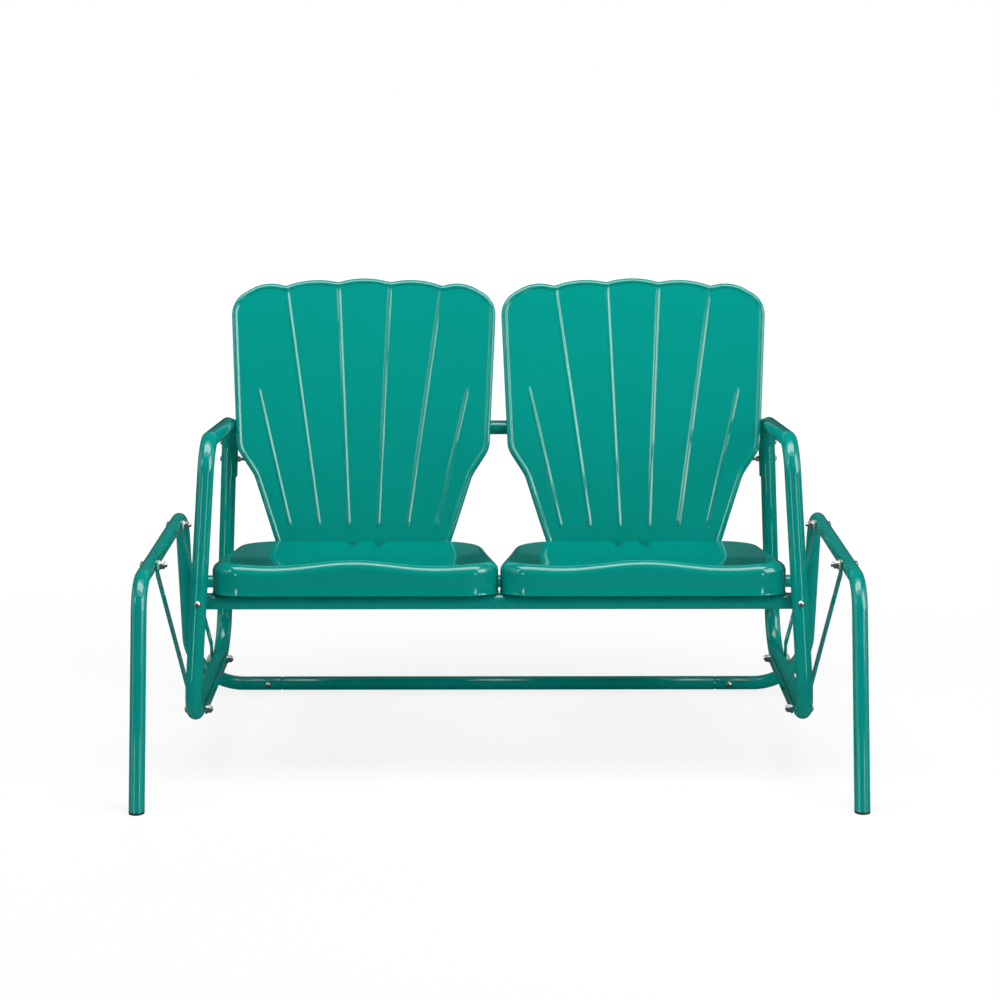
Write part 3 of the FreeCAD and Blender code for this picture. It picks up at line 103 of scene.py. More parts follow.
def add_node(material: bpy.types.Material, kind: str, settings: Optional[dict] = None,
             values: Optional[dict] = None, links: Optional[dict] = None) -> bpy.types.Node:
    """Adds a shader node with its settings, socket values and links.

    Args:
        material: what owns the node tree, a material or a world.
        kind: the node's type name.
        settings: properties of the node.
        values: socket name or index to a constant.
        links: socket name or index to the output socket that feeds it.

    Returns:
        The new node.
    """
    tree = material.node_tree
    made = tree.nodes.new(kind)
    for key, value in (settings or {}).items():
        setattr(made, key, value)
    for key, value in (values or {}).items():
        made.inputs[key].default_value = value
    for key, source in (links or {}).items():
        tree.links.new(source, made.inputs[key])
    return made


def new_material(name: str) -> bpy.types.Material:
    """An empty node material."""
    material = bpy.data.materials.new(name)
    material.use_nodes = True
    material.node_tree.nodes.clear()
    return material


def finish_material(material: bpy.types.Material, shader: bpy.types.Node) -> None:
    """Joins a shader to the material's output."""
    add_node(material, "ShaderNodeOutputMaterial", links={"Surface": shader.outputs[0]})


def object_place(material: bpy.types.Material) -> bpy.types.NodeSocket:
    """The coordinates of a point on the object that wears the material."""
    return add_node(material, "ShaderNodeTexCoord").outputs["Object"]


def add_noise(material: bpy.types.Material, place: bpy.types.NodeSocket, cell_mm: float,
              detail: float) -> bpy.types.NodeSocket:
    """Adds a noise texture.

    Args:
        material: what owns the node tree.
        place: the coordinates.
        cell_mm: about how large the noise's cells are.
        detail: how many finer layers are added to it.

    Returns:
        The noise's value, from 0 to 1.
    """
    noise = add_node(material, "ShaderNodeTexNoise", values={"Scale": 1 / (cell_mm * MM), "Detail": detail},
                     links={"Vector": place})
    return noise.outputs["Fac"]


def add_tint(material: bpy.types.Material, colours: tuple[str, str],
             share: bpy.types.NodeSocket) -> bpy.types.NodeSocket:
    """Blends two sRGB hex colours by a share."""
    tint = add_node(material, "ShaderNodeMix", {"data_type": "RGBA"},
                    {6: linear_rgb(colours[0]), 7: linear_rgb(colours[1])}, {0: share})
    return tint.outputs[2]


def add_roughness(material: bpy.types.Material, limits: tuple[float, float],
                  share: bpy.types.NodeSocket) -> bpy.types.NodeSocket:
    """A roughness between two limits, by a share."""
    rough = add_node(material, "ShaderNodeMapRange", values={3: limits[0], 4: limits[1]},
                     links={0: share})
    return rough.outputs[0]


@dataclass(frozen=True)
class PowderPaint:
    """Gloss powder paint on steel: a smooth coloured skin with a faint orange peel.

    The peel's cells are about 3 mm, and so low that they only soften the edges of reflections.
    """

    name: str = "gloss_powder_paint"
    colour: str = "009489"
    shade: str = "008f84"
    cloud_mm: float = 260.0
    peel_mm: float = 3.2
    peel_height_mm: float = 0.012
    roughness: float = 0.06
    specular: float = 0.5

    def build(self) -> bpy.types.Material:
        """Makes the material."""
        material = new_material(self.name)
        place = object_place(material)
        cloud = add_noise(material, place, self.cloud_mm, 2.0)
        tint = add_tint(material, (self.colour, self.shade), cloud)
        peel = add_noise(material, place, self.peel_mm, 1.0)
        bump = add_node(material, "ShaderNodeBump",
                        values={"Strength": 1.0, "Distance": self.peel_height_mm * MM}, links={"Height": peel})
        shader = add_node(material, "ShaderNodeBsdfPrincipled",
                          values={"Roughness": self.roughness, "Specular IOR Level": self.specular},
                          links={"Base Color": tint, "Normal": bump.outputs[0]})
        finish_material(material, shader)
        return material


@dataclass(frozen=True)
class ZincPlate:
    """Bright zinc plating on small steel hardware: pale metal with a soft, slightly blotchy shine."""

    name: str = "bright_zinc_plate"
    colour: str = "d2d3d1"
    dull: str = "b3b5b4"
    blotch_mm: float = 4.0
    roughness: tuple[float, float] = (0.24, 0.42)

    def build(self) -> bpy.types.Material:
        """Makes the material."""
        material = new_material(self.name)
        blotch = add_noise(material, object_place(material), self.blotch_mm, 3.0)
        tint = add_tint(material, (self.colour, self.dull), blotch)
        rough = add_roughness(material, self.roughness, blotch)
        shader = add_node(material, "ShaderNodeBsdfPrincipled", values={"Metallic": 1.0},
                          links={"Base Color": tint, "Roughness": rough})
        finish_material(material, shader)
        return material


@dataclass(frozen=True)
class DrawnSteel:
    """Plain drawn steel tube along X: grey metal with fine lines, drawn out by the X scale."""

    name: str = "drawn_steel"
    colour: str = "8f9092"
    line_mm: float = 0.6
    line_scale_x: float = 0.02
    roughness: tuple[float, float] = (0.3, 0.45)

    def build(self) -> bpy.types.Material:
        """Makes the material."""
        material = new_material(self.name)
        stretch = add_node(material, "ShaderNodeMapping", values={"Scale": (self.line_scale_x, 1.0, 1.0)},
                           links={"Vector": object_place(material)})
        lines = add_noise(material, stretch.outputs[0], self.line_mm, 2.0)
        rough = add_roughness(material, self.roughness, lines)
        shader = add_node(material, "ShaderNodeBsdfPrincipled",
                          values={"Base Color": linear_rgb(self.colour), "Metallic": 1.0},
                          links={"Roughness": rough})
        finish_material(material, shader)
        return material


@dataclass(frozen=True)
class MouldedPlastic:
    """Moulded plastic with a fine spark-eroded grain of about half a millimetre."""

    name: str
    colour: str
    roughness: float = 0.5
    subsurface: float = 0.0
    grain_mm: float = 0.6
    grain_strength: float = 0.4
    grain_height_mm: float = 0.02
    scatter_mm: float = 1.5

    def build(self) -> bpy.types.Material:
        """Makes the material."""
        material = new_material(self.name)
        grain = add_noise(material, object_place(material), self.grain_mm, 2.0)
        bump = add_node(material, "ShaderNodeBump",
                        values={"Strength": self.grain_strength, "Distance": self.grain_height_mm * MM},
                        links={"Height": grain})
        shader = add_node(material, "ShaderNodeBsdfPrincipled",
                          values={"Base Color": linear_rgb(self.colour), "Roughness": self.roughness,
                                  "Subsurface Weight": self.subsurface,
                                  "Subsurface Scale": self.scatter_mm * MM},
                          links={"Normal": bump.outputs[0]})
        finish_material(material, shader)
        return material


@dataclass
class Finishes:
    """The bench's materials, made once each."""

    paint: bpy.types.Material = field(default_factory=lambda: PowderPaint().build())
    zinc: bpy.types.Material = field(default_factory=lambda: ZincPlate().build())
    steel: bpy.types.Material = field(default_factory=lambda: DrawnSteel().build())
    nylon: bpy.types.Material = field(
        default_factory=lambda: MouldedPlastic("natural_nylon", "d9d6cb", 0.42, 0.15).build())
    plastic: bpy.types.Material = field(
        default_factory=lambda: MouldedPlastic("black_polypropylene", "17181a", 0.5).build())


# Meshes


def grid_quads(rows: int, columns: int, closed_rows: bool = False, closed_columns: bool = False) -> Array:
    """Faces of a grid of points stored row by row.

    Args:
        rows: number of rows of points.
        columns: number of points in a row.
        closed_rows: the last row joins the first.
        closed_columns: the last column joins the first.

    Returns:
        One row of four point numbers for each face: this point, the next in the row, the one
        after it in the next row, and the one below this point.
    """
    row = np.arange(rows if closed_rows else rows - 1)[:, None]
    column = np.arange(columns if closed_columns else columns - 1)[None, :]
    next_row = (row + 1) % rows
    next_column = (column + 1) % columns
    corners = (row * columns + column, row * columns + next_column,
               next_row * columns + next_column, next_row * columns + column)
    shape = (row.size, column.size)
    return np.stack([np.broadcast_to(corner, shape) for corner in corners], -1).reshape(-1, 4)


def make_piece(name: str, points: Array, faces: Array, material: bpy.types.Material,
               sharp_degrees: float = NEVER_SHARP) -> bpy.types.Object:
    """Puts points and faces into a new object at the origin.

    Args:
        name: the object's name.
        points: one row of three millimetre coordinates for each point.
        faces: one row of point numbers for each face, all with the same number of corners.
        material: the finish.
        sharp_degrees: edges that turn more than this are drawn sharp.

    Returns:
        The object, with doubled points merged.
    """
    corners = faces.shape[1]
    mesh = bpy.data.meshes.new(name)
    mesh.vertices.add(len(points))
    mesh.vertices.foreach_set("co", (points * MM).astype(np.float32).ravel())
    mesh.loops.add(faces.size)
    mesh.loops.foreach_set("vertex_index", faces.astype(np.int32).ravel())
    mesh.polygons.add(len(faces))
    mesh.polygons.foreach_set("loop_start", np.arange(0, faces.size, corners, dtype=np.int32))
    mesh.update(calc_edges=True)
    merged = bmesh.new()
    merged.from_mesh(mesh)
    bmesh.ops.remove_doubles(merged, verts=merged.verts, dist=MERGE_DISTANCE)
    bmesh.ops.dissolve_degenerate(merged, edges=merged.edges, dist=SLIVER_LENGTH)
    bmesh.ops.recalc_face_normals(merged, faces=merged.faces)
    merged.to_mesh(mesh)
    merged.free()
    mesh.shade_smooth()
    if sharp_degrees < NEVER_SHARP:
        mesh.set_sharp_from_angle(angle=math.radians(sharp_degrees))
    mesh.materials.append(material)
    piece = bpy.data.objects.new(name, mesh)
    bpy.context.scene.collection.objects.link(piece)
    return piece


def settle(piece: bpy.types.Object, body: str, nodes: Sequence[str]) -> None:
    """Ties a finished piece to the frame.

    Args:
        piece: the piece.
        body: the moving body that it rides on.
        nodes: the CAD nodes that it stands for.
    """
    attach(piece, body)
    if nodes:
        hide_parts(*nodes)
    LOG.info("%s rides on %s, %d faces", piece.name, body, len(piece.data.polygons))


def unit(vectors: Array) -> Array:
    """The vectors at length one."""
    return vectors / np.linalg.norm(vectors, axis=-1, keepdims=True)


def smooth_share(values: Array) -> Array:
    """An even rise from 0 to 1 with flat ends: three squares less two cubes of the clipped value."""
    share = np.clip(values, 0, 1)
    return share * share * (3 - 2 * share)


def rounded_line(corners: Array, radii: Sequence[float], closed: bool, spacing: float = 4.0,
                 turn_degrees: float = 3.0) -> tuple[Array, Array]:
    """Points and directions along straight runs joined by tangent arcs.

    At each corner the arc starts and ends at radius / tan(half the corner's angle) from it, and
    its centre lies on the bisector. A point of an arc is the centre plus the radius times the
    start direction turned by the point's share of the whole turn.

    Args:
        corners: one row for each corner, two or three coordinates.
        radii: one radius for each corner that is rounded.
        closed: the line returns to its start.
        spacing: the largest distance between points on a run.
        turn_degrees: the largest turn between points on an arc.

    Returns:
        The points, and the unit direction of travel at each.
    """
    count = len(corners)
    rounded = range(count) if closed else range(1, count - 1)
    arcs: list[tuple[Array, Array]] = []
    for index in rounded:
        corner = corners[index]
        before = unit(corners[index - 1] - corner)
        after = unit(corners[(index + 1) % count] - corner)
        half = math.acos(float(np.clip(before @ after, -1, 1))) / 2
        radius = radii[index if closed else index - 1]
        reach = radius / math.tan(half)
        start = corner + before * reach
        centre = corner + unit(before + after) * (reach / math.cos(half))
        turn = math.pi - 2 * half
        steps = np.linspace(0, turn, max(3, int(math.degrees(turn) / turn_degrees) + 2))[:, None]
        arc = centre + (start - centre) * np.cos(steps) - before * radius * np.sin(steps)
        direction = -before * np.cos(steps) - unit(start - centre) * np.sin(steps)
        arcs.append((arc, direction))
    stations: list[Array] = []
    directions: list[Array] = []
    last = arcs[-1][0][-1] if closed else corners[0]
    for arc, direction in arcs:
        run = run_between(last, arc[0], spacing)
        stations += [run, arc]
        directions += [np.broadcast_to(unit(arc[0] - last), run.shape), direction]
        last = arc[-1]
    if not closed:
        run = run_between(last, corners[-1], spacing)
        stations += [run[1:], corners[-1:]]
        tail = unit(corners[-1] - last)
        directions += [np.broadcast_to(tail, run[1:].shape), tail[None]]
    return np.concatenate(stations), np.concatenate(directions)


def run_between(start: Array, end: Array, spacing: float) -> Array:
    """Evenly spaced points from start towards end, without the end itself."""
    steps = max(1, int(np.linalg.norm(end - start) / spacing))
    share = np.arange(steps)[:, None] / steps
    return start + (end - start) * share


@dataclass
class TubeSkin:
    """The skin of a bent round tube.

    A point of the skin is the centre line's point plus the radius times the cosine of the angle
    along one cross direction and its sine along the other.
    """

    centres: Array
    directions: Array
    radius: float
    wall: float
    closed: bool
    reference: Array
    around: int = 48
    bore_depth: float = 12.0
    lip_depth: float = 0.6
    lip_width: float = 0.4

    def points(self) -> Array:
        """The skin's points as rows of rings, with a small lip and a bore at open ends."""
        centres, directions = self.centres, self.directions
        radii = np.full(len(centres), self.radius)
        if not self.closed:
            inner = self.radius - self.wall
            depth = np.array([self.bore_depth, self.lip_depth, 0.0])[:, None]
            centres = np.concatenate([centres[:1] + directions[:1] * depth, centres,
                                      centres[-1:] - directions[-1:] * depth[::-1]])
            directions = np.concatenate([directions[:1]] * 3 + [directions] + [directions[-1:]] * 3)
            ends = np.array([inner, inner, inner + self.lip_width])
            radii = np.concatenate([ends, radii, ends[::-1]])
        first = unit(np.cross(directions, self.reference))
        second = np.cross(directions, first)
        angle = np.linspace(0, 2 * np.pi, self.around, endpoint=False)
        ring = (first[:, None] * np.cos(angle)[None, :, None]
                + second[:, None] * np.sin(angle)[None, :, None])
        return centres[:, None] + ring * radii[:, None, None]

    def faces(self, points: Array) -> Array:
        """The skin's faces."""
        return grid_quads(points.shape[0], points.shape[1], self.closed, True)


def press_flats(points: Array, face_x: float, outward: int, places: Sequence[tuple[float, float]],
                depth: float, half_length: float) -> Array:
    """Presses flats into a tube's side.

    Outside the flat the limit is the tube's own face. Inside it the limit is the depth lower, with
    an even ramp. A point past the limit is moved back to it, softly over the softness: by the
    softness times the logarithm of 1 plus the exponential of how many softnesses it is past.

    Args:
        points: the tube's skin.
        face_x: the X of the tube's face before pressing.
        outward: 1 where the face looks to +X, -1 where it looks to -X.
        places: the (Y, Z) of each flat's middle.
        depth: how deep a flat is.
        half_length: half the length of a flat's level part.

    Returns:
        The pressed skin.
    """
    pressed = points.copy()
    soft = 0.35
    ramp_length = 3.2 * depth
    reach_z = 60
    far = 30
    for y, z in places:
        share = 1 - smooth_share((np.abs(points[..., 1] - y) - half_length) / ramp_length)
        share = share * (np.abs(points[..., 2] - z) < reach_z)
        limit = face_x * outward - depth * share
        past = np.clip((pressed[..., 0] * outward - limit) / soft, -far, far)
        shift = np.where(share > 0, soft * np.log1p(np.exp(past)), 0)
        pressed[..., 0] -= shift * outward
    return pressed


def mirror_grid(points: Array) -> Array:
    """The grid on the other side of the bench, with its rows reversed so that faces still look out."""
    return (points * np.array([-1.0, 1.0, 1.0]))[::-1]


def build_tube_pair(skin: tuple[Array, Array], names: tuple[str, str], body: str,
                    material: bpy.types.Material, sharp_degrees: float = NEVER_SHARP) -> None:
    """Makes and settles a tube on the right and its mirror image on the left.

    Args:
        skin: points and faces of the right tube.
        names: what the pieces' names start with, and what the CAD nodes' names start with.
        body: the moving body that both ride on.
        material: the finish.
        sharp_degrees: edges that turn more than this are drawn sharp.
    """
    points, faces = skin
    for side, name in ((Side.RIGHT, "right"), (Side.LEFT, "left")):
        shape = points if side is Side.RIGHT else mirror_grid(points)
        piece = make_piece(f"{names[0]}_{name}", shape.reshape(-1, 3), faces, material, sharp_degrees)
        settle(piece, body, [f"{names[1]}_{name}"])


# Sub-assemblies


@dataclass
class BenchSizes:
    """Sizes that several sub-assemblies share."""

    side_x: float = 636.0
    base_tube: float = 28.0
    wall: float = 1.5
    rail_z: float = 388.0
    low_z: float = 115.0
    pivot_front_y: float = -139.0
    pivot_rear_y: float = 199.0
    loop_tube: float = 30.0
    loop_low_x: float = 557.5
    front_splay_degrees: float = 3.85
    rear_splay_degrees: float = 2.3
    flat_depth: float = 3.0
    flat_length: float = 48.0

    def post_x(self, height: float, splay_degrees: float) -> float:
        """How far out the axis of a post is at a height."""
        return self.loop_low_x - math.tan(math.radians(splay_degrees)) * (height - self.low_z)


@dataclass
class BaseSides:
    """The two side tubes of the base, each from the front foot to the stretcher's seam."""

    sizes: BenchSizes
    finishes: Finishes
    front_foot_y: float = -382.0
    front_corner_y: float = -272.0
    rear_corner_y: float = 294.0
    rear_foot_y: float = 370.0
    seam_x: float = 451.0
    rail_bend: float = 66.0
    ground_bend: float = 108.0
    glide: float = 4.0
    foot_rings: int = 8
    sharp_degrees: float = 50.0

    def skin(self) -> tuple[Array, Array]:
        """Points and faces of the right side tube."""
        s = self.sizes
        corners = np.array([(s.side_x, self.front_foot_y, 0.0), (s.side_x, self.front_corner_y, s.rail_z),
                            (s.side_x, self.rear_corner_y, s.rail_z),
                            (s.side_x, self.rear_foot_y, s.base_tube / 2),
                            (self.seam_x, self.rear_foot_y, s.base_tube / 2)])
        bends = (self.rail_bend, self.rail_bend, self.ground_bend)
        centres, directions = rounded_line(corners, bends, False)
        along_no_run = np.array([0.7, -0.2, -0.3])
        tube = TubeSkin(centres, directions, s.base_tube / 2, s.wall, False, along_no_run)
        points = tube.points()
        faces = tube.faces(points)
        points = press_flats(points, s.side_x - s.base_tube / 2, -1,
                             [(s.pivot_front_y, s.rail_z), (s.pivot_rear_y, s.rail_z)],
                             s.flat_depth, s.flat_length / 2)
        foot = points[:self.foot_rings]
        lean = (self.front_corner_y - self.front_foot_y) / s.rail_z
        low = foot[..., 2] < self.glide
        lift = np.where(low, self.glide - foot[..., 2], 0)
        points[:self.foot_rings] = foot + np.stack([np.zeros_like(lift), lift * lean, lift], -1)
        return points, faces

    def build(self) -> None:
        """Makes and places both side tubes."""
        names = ("base_tube", "base_side")
        build_tube_pair(self.skin(), names, "base", self.finishes.paint, self.sharp_degrees)


@dataclass
class SideLoops:
    """The two closed loops of the swinging frame: arm, posts and lower rail."""

    sizes: BenchSizes
    finishes: Finishes
    arm_front: tuple[float, float] = (-158.0, 620.0)
    arm_rear: tuple[float, float] = (331.0, 568.5)
    low_front_y: float = -216.0
    low_rear_y: float = 284.0
    bends: tuple[float, float, float, float] = (84.0, 50.0, 58.0, 64.0)

    def skin(self) -> tuple[Array, Array]:
        """Points and faces of the right loop."""
        s = self.sizes
        rear, front = s.rear_splay_degrees, s.front_splay_degrees
        places = ((self.low_rear_y, s.low_z, rear), (*self.arm_rear, rear),
                  (*self.arm_front, front), (self.low_front_y, s.low_z, front))
        corners = np.array([(s.post_x(z, splay), y, z) for y, z, splay in places])
        centres, directions = rounded_line(corners, self.bends, True)
        tube = TubeSkin(centres, directions, s.loop_tube / 2, s.wall, True, np.array([1.0, 0.0, 0.0]))
        points = tube.points()
        faces = tube.faces(points)
        points = press_flats(points, s.loop_low_x + s.loop_tube / 2, 1,
                             [(s.pivot_front_y, s.low_z), (s.pivot_rear_y, s.low_z)],
                             s.flat_depth, s.flat_length / 2)
        return points, faces

    def build(self) -> None:
        """Makes and places both loops."""
        build_tube_pair(self.skin(), ("loop_tube", "side_loop"), "seat", self.finishes.paint)


def closed_loop(sides: Sequence[Array]) -> Array:
    """The bottom, right, top and left sides as one anticlockwise loop, with each corner once."""
    bottom, right, top, left = sides
    return np.concatenate([bottom[:-1], right[:-1], top[::-1][:-1], left[::-1][:-1]])


@dataclass
class PressedShell:
    """A pressed sheet: a face inside an outline, a shaped edge around it and a wall behind that.

    The face is a Coons patch: each point is the blend of the left and right edge lines, plus the
    blend of the bottom and top edge lines, less the blend of the four corners. Every flat point is
    lifted to its place by the piece's own surface, after arrange has moved it within the face. The
    section of the edge is a list of insets from the outline with their drops behind the face, from
    the face to the wall. The wall's last part, as high as the hem's height, stands out by the hem.
    """

    sides: tuple[Array, Array, Array, Array]
    normals: tuple[Array, Array, Array, Array]
    section: Array
    wall_depth: Callable[[Array, Array], Array]
    lift: Callable[[Array, Array, Array], Array]
    hem: float = 0.0
    hem_height: float = 4.0
    arrange: Callable[[Array], Array] = lambda flat: flat

    def face_grid(self) -> Array:
        """The flat points of the face."""
        bottom, right, top, left = (line - normal * self.section[0, 0]
                                    for line, normal in zip(self.sides, self.normals))
        u = np.linspace(0, 1, len(bottom))[None, :, None]
        v = np.linspace(0, 1, len(left))[:, None, None]
        across = left[:, None] * (1 - u) + right[:, None] * u
        along = bottom[None] * (1 - v) + top[None] * v
        corners = (bottom[0] * (1 - u) * (1 - v) + bottom[-1] * u * (1 - v)
                   + top[0] * (1 - u) * v + top[-1] * u * v)
        return self.arrange(across + along - corners)

    def edge_grid(self) -> Array:
        """The edge and the wall as rings of points in space, from the face outwards."""
        outline, normals = closed_loop(self.sides), closed_loop(self.normals)
        inset = self.section[:, 0, None, None]
        drop = np.broadcast_to(self.section[:, 1, None], (len(self.section), len(outline)))
        wall = self.wall_depth(outline[:, 0], outline[:, 1])[None]
        last = self.section[-1, 1]
        hem_top = np.maximum(wall - self.hem_height, last)
        deep = np.concatenate([last + (hem_top - last) * 0.5, hem_top, (hem_top + wall) / 2, wall])
        reach = np.array([0.0, 0.0, 0.5, 1.0])[:, None, None] * self.hem
        edge_rings = outline[None] - normals[None] * inset
        wall_rings = outline[None] + normals[None] * reach
        rings = np.concatenate([edge_rings, wall_rings])
        drops = np.concatenate([drop, deep])
        return self.lift(rings[..., 0], rings[..., 1], drops)

    def build(self, name: str, material: bpy.types.Material, thickness: float, side: Side,
              centre_x: float) -> bpy.types.Object:
        """Makes the shell on one side of the bench: as drawn on the left, mirrored on the right.

        Args:
            name: the object's name.
            material: the finish.
            thickness: of the sheet, laid on behind the face.
            side: left or right.
            centre_x: how far out the middle of the shell is.

        Returns:
            The shell as an object.
        """
        flat = self.face_grid()
        face = self.lift(flat[..., 0], flat[..., 1], np.zeros(flat.shape[:2]))
        edge = self.edge_grid()
        face_quads = grid_quads(*face.shape[:2])
        edge_quads = grid_quads(edge.shape[0], edge.shape[1], False, True)[:, ::-1]
        points = np.concatenate([face.reshape(-1, 3), edge.reshape(-1, 3)])
        faces = np.concatenate([face_quads, edge_quads + face.shape[0] * face.shape[1]])
        points[:, 0] = side.value * (centre_x - points[:, 0])
        piece = make_piece(name, points, faces if side is Side.LEFT else faces[:, ::-1], material)
        sheet = piece.modifiers.new("sheet_thickness", "SOLIDIFY")
        sheet.thickness = thickness * MM
        sheet.offset = -1.0
        sheet.use_even_offset = True
        return piece

    def build_pair(self, names: tuple[str, str], material: bpy.types.Material, thickness: float,
                   centre_x: float) -> None:
        """Makes and settles the shell on both sides of the bench.

        Args:
            names: what the pieces' names start with, and what the CAD nodes' names start with.
            material: the finish.
            thickness: of the sheet.
            centre_x: how far out the middle of the shell is.
        """
        for side, name in ((Side.LEFT, "left"), (Side.RIGHT, "right")):
            piece = self.build(f"{names[0]}_{name}", material, thickness, side, centre_x)
            settle(piece, "seat", [f"{names[1]}_{name}"])


def rolled_section(radius: float, steps: int) -> Array:
    """A quarter of a circle, as rows of inset and drop: the inset ends at 0, the drop at the radius."""
    turn = np.linspace(0, np.pi / 2, steps)
    return np.stack([radius * (1 - np.sin(turn)), radius * (1 - np.cos(turn))], -1)


def beaded_section(radius: float, rise: float, flank: float, steps: int) -> Array:
    """An even rise from the face to a bead, then a quarter of a circle, as rows of inset and drop."""
    share = np.linspace(0, 1, steps)[:-1]
    climb = np.stack([radius + flank * (1 - share), -rise * smooth_share(share)], -1)
    return np.concatenate([climb, rolled_section(radius, steps) - np.array([0.0, rise])])


def outline_sides(corners: Array, radii: Sequence[float], split: Sequence[int],
                  counts: tuple[int, int]) -> tuple[tuple[Array, ...], tuple[Array, ...]]:
    """Splits a rounded outline into four sides with evenly spread points.

    Args:
        corners: the outline's corners, anticlockwise, starting at the bottom left.
        radii: one for each corner.
        split: which corners are the bottom left, bottom right, top right and top left ones. The
            outline is split in the middle of their arcs.
        counts: points on the bottom and top sides, and on the right and left sides.

    Returns:
        The sides as bottom, right, top and left, each running to the right or upwards, and their
        outward normals.
    """
    line, direction = rounded_line(corners, radii, True, spacing=2.0, turn_degrees=2.0)
    normal = np.stack([direction[:, 1], -direction[:, 0]], -1)
    size = len(line)
    below_any_cosine = -2
    least_step = 1e-9
    marks = []
    for index in split:
        bisector = unit(unit(corners[index] - corners[index - 1])
                        + unit(corners[index] - corners[(index + 1) % len(corners)]))
        near = np.linalg.norm(line - corners[index], axis=1) < 2.5 * radii[index] + 10
        match = np.where(near, normal @ bisector, below_any_cosine)
        marks.append(int(match.argmax()))
    sides: list[Array] = []
    normals: list[Array] = []
    for turn in range(4):
        start, end = marks[turn], marks[(turn + 1) % 4]
        steps = np.arange(start, end + 1 if end > start else end + size + 1) % size
        run, look = line[steps], normal[steps]
        axis = 0 if turn % 2 == 0 else 1
        key = run[:, axis]
        if key[-1] < key[0]:
            run, look, key = run[::-1], look[::-1], key[::-1]
        key = np.maximum.accumulate(key + np.arange(len(key)) * least_step)
        wanted = np.linspace(key[0], key[-1], counts[turn % 2])
        sides.append(np.stack([np.interp(wanted, key, run[:, at]) for at in (0, 1)], -1))
        normals.append(unit(np.stack([np.interp(wanted, key, look[:, at]) for at in (0, 1)], -1)))
    return tuple(sides), tuple(normals)


def bead(across: Array, along: Array, foot: tuple[float, float], head: tuple[float, float],
         half_foot: float, half_head: float, height: float, foot_fade: float, head_fade: float) -> Array:
    """The height of a raised bead along a line.

    Across the line it is a roof with a rounded ridge and foot: its slope grows evenly over the
    first quarter from the ridge, stays the same, and shrinks evenly over the last quarter. It is
    as wide at each place as the even blend of its two half widths, and fades at both ends.

    Args:
        across: first flat coordinate of each point.
        along: second flat coordinate of each point.
        foot: the line's low end.
        head: the line's high end.
        half_foot: half the bead's width at the foot.
        half_head: half its width at the head.
        height: of the bead's crest.
        foot_fade: length over which the foot fades.
        head_fade: length over which the head fades.

    Returns:
        The height at each point.
    """
    start, end = np.array(foot), np.array(head)
    length = np.linalg.norm(end - start)
    direction = (end - start) / length
    travel = (across - start[0]) * direction[0] + (along - start[1]) * direction[1]
    offset = np.abs((across - start[0]) * direction[1] - (along - start[1]) * direction[0])
    half = half_foot + (half_head - half_foot) * np.clip(travel / length, 0, 1)
    share = np.clip(offset / half, 0, 1)
    soft = 0.25
    fall = (np.minimum(share, soft) ** 2 / (2 * soft) + np.clip(share - soft, 0, 1 - 2 * soft)
            + (soft ** 2 - np.minimum(1 - share, soft) ** 2) / (2 * soft))
    crest = 1 - fall / (1 - soft)
    ends = smooth_share(travel / foot_fade) * smooth_share((length - travel) / head_fade)
    return height * crest * ends


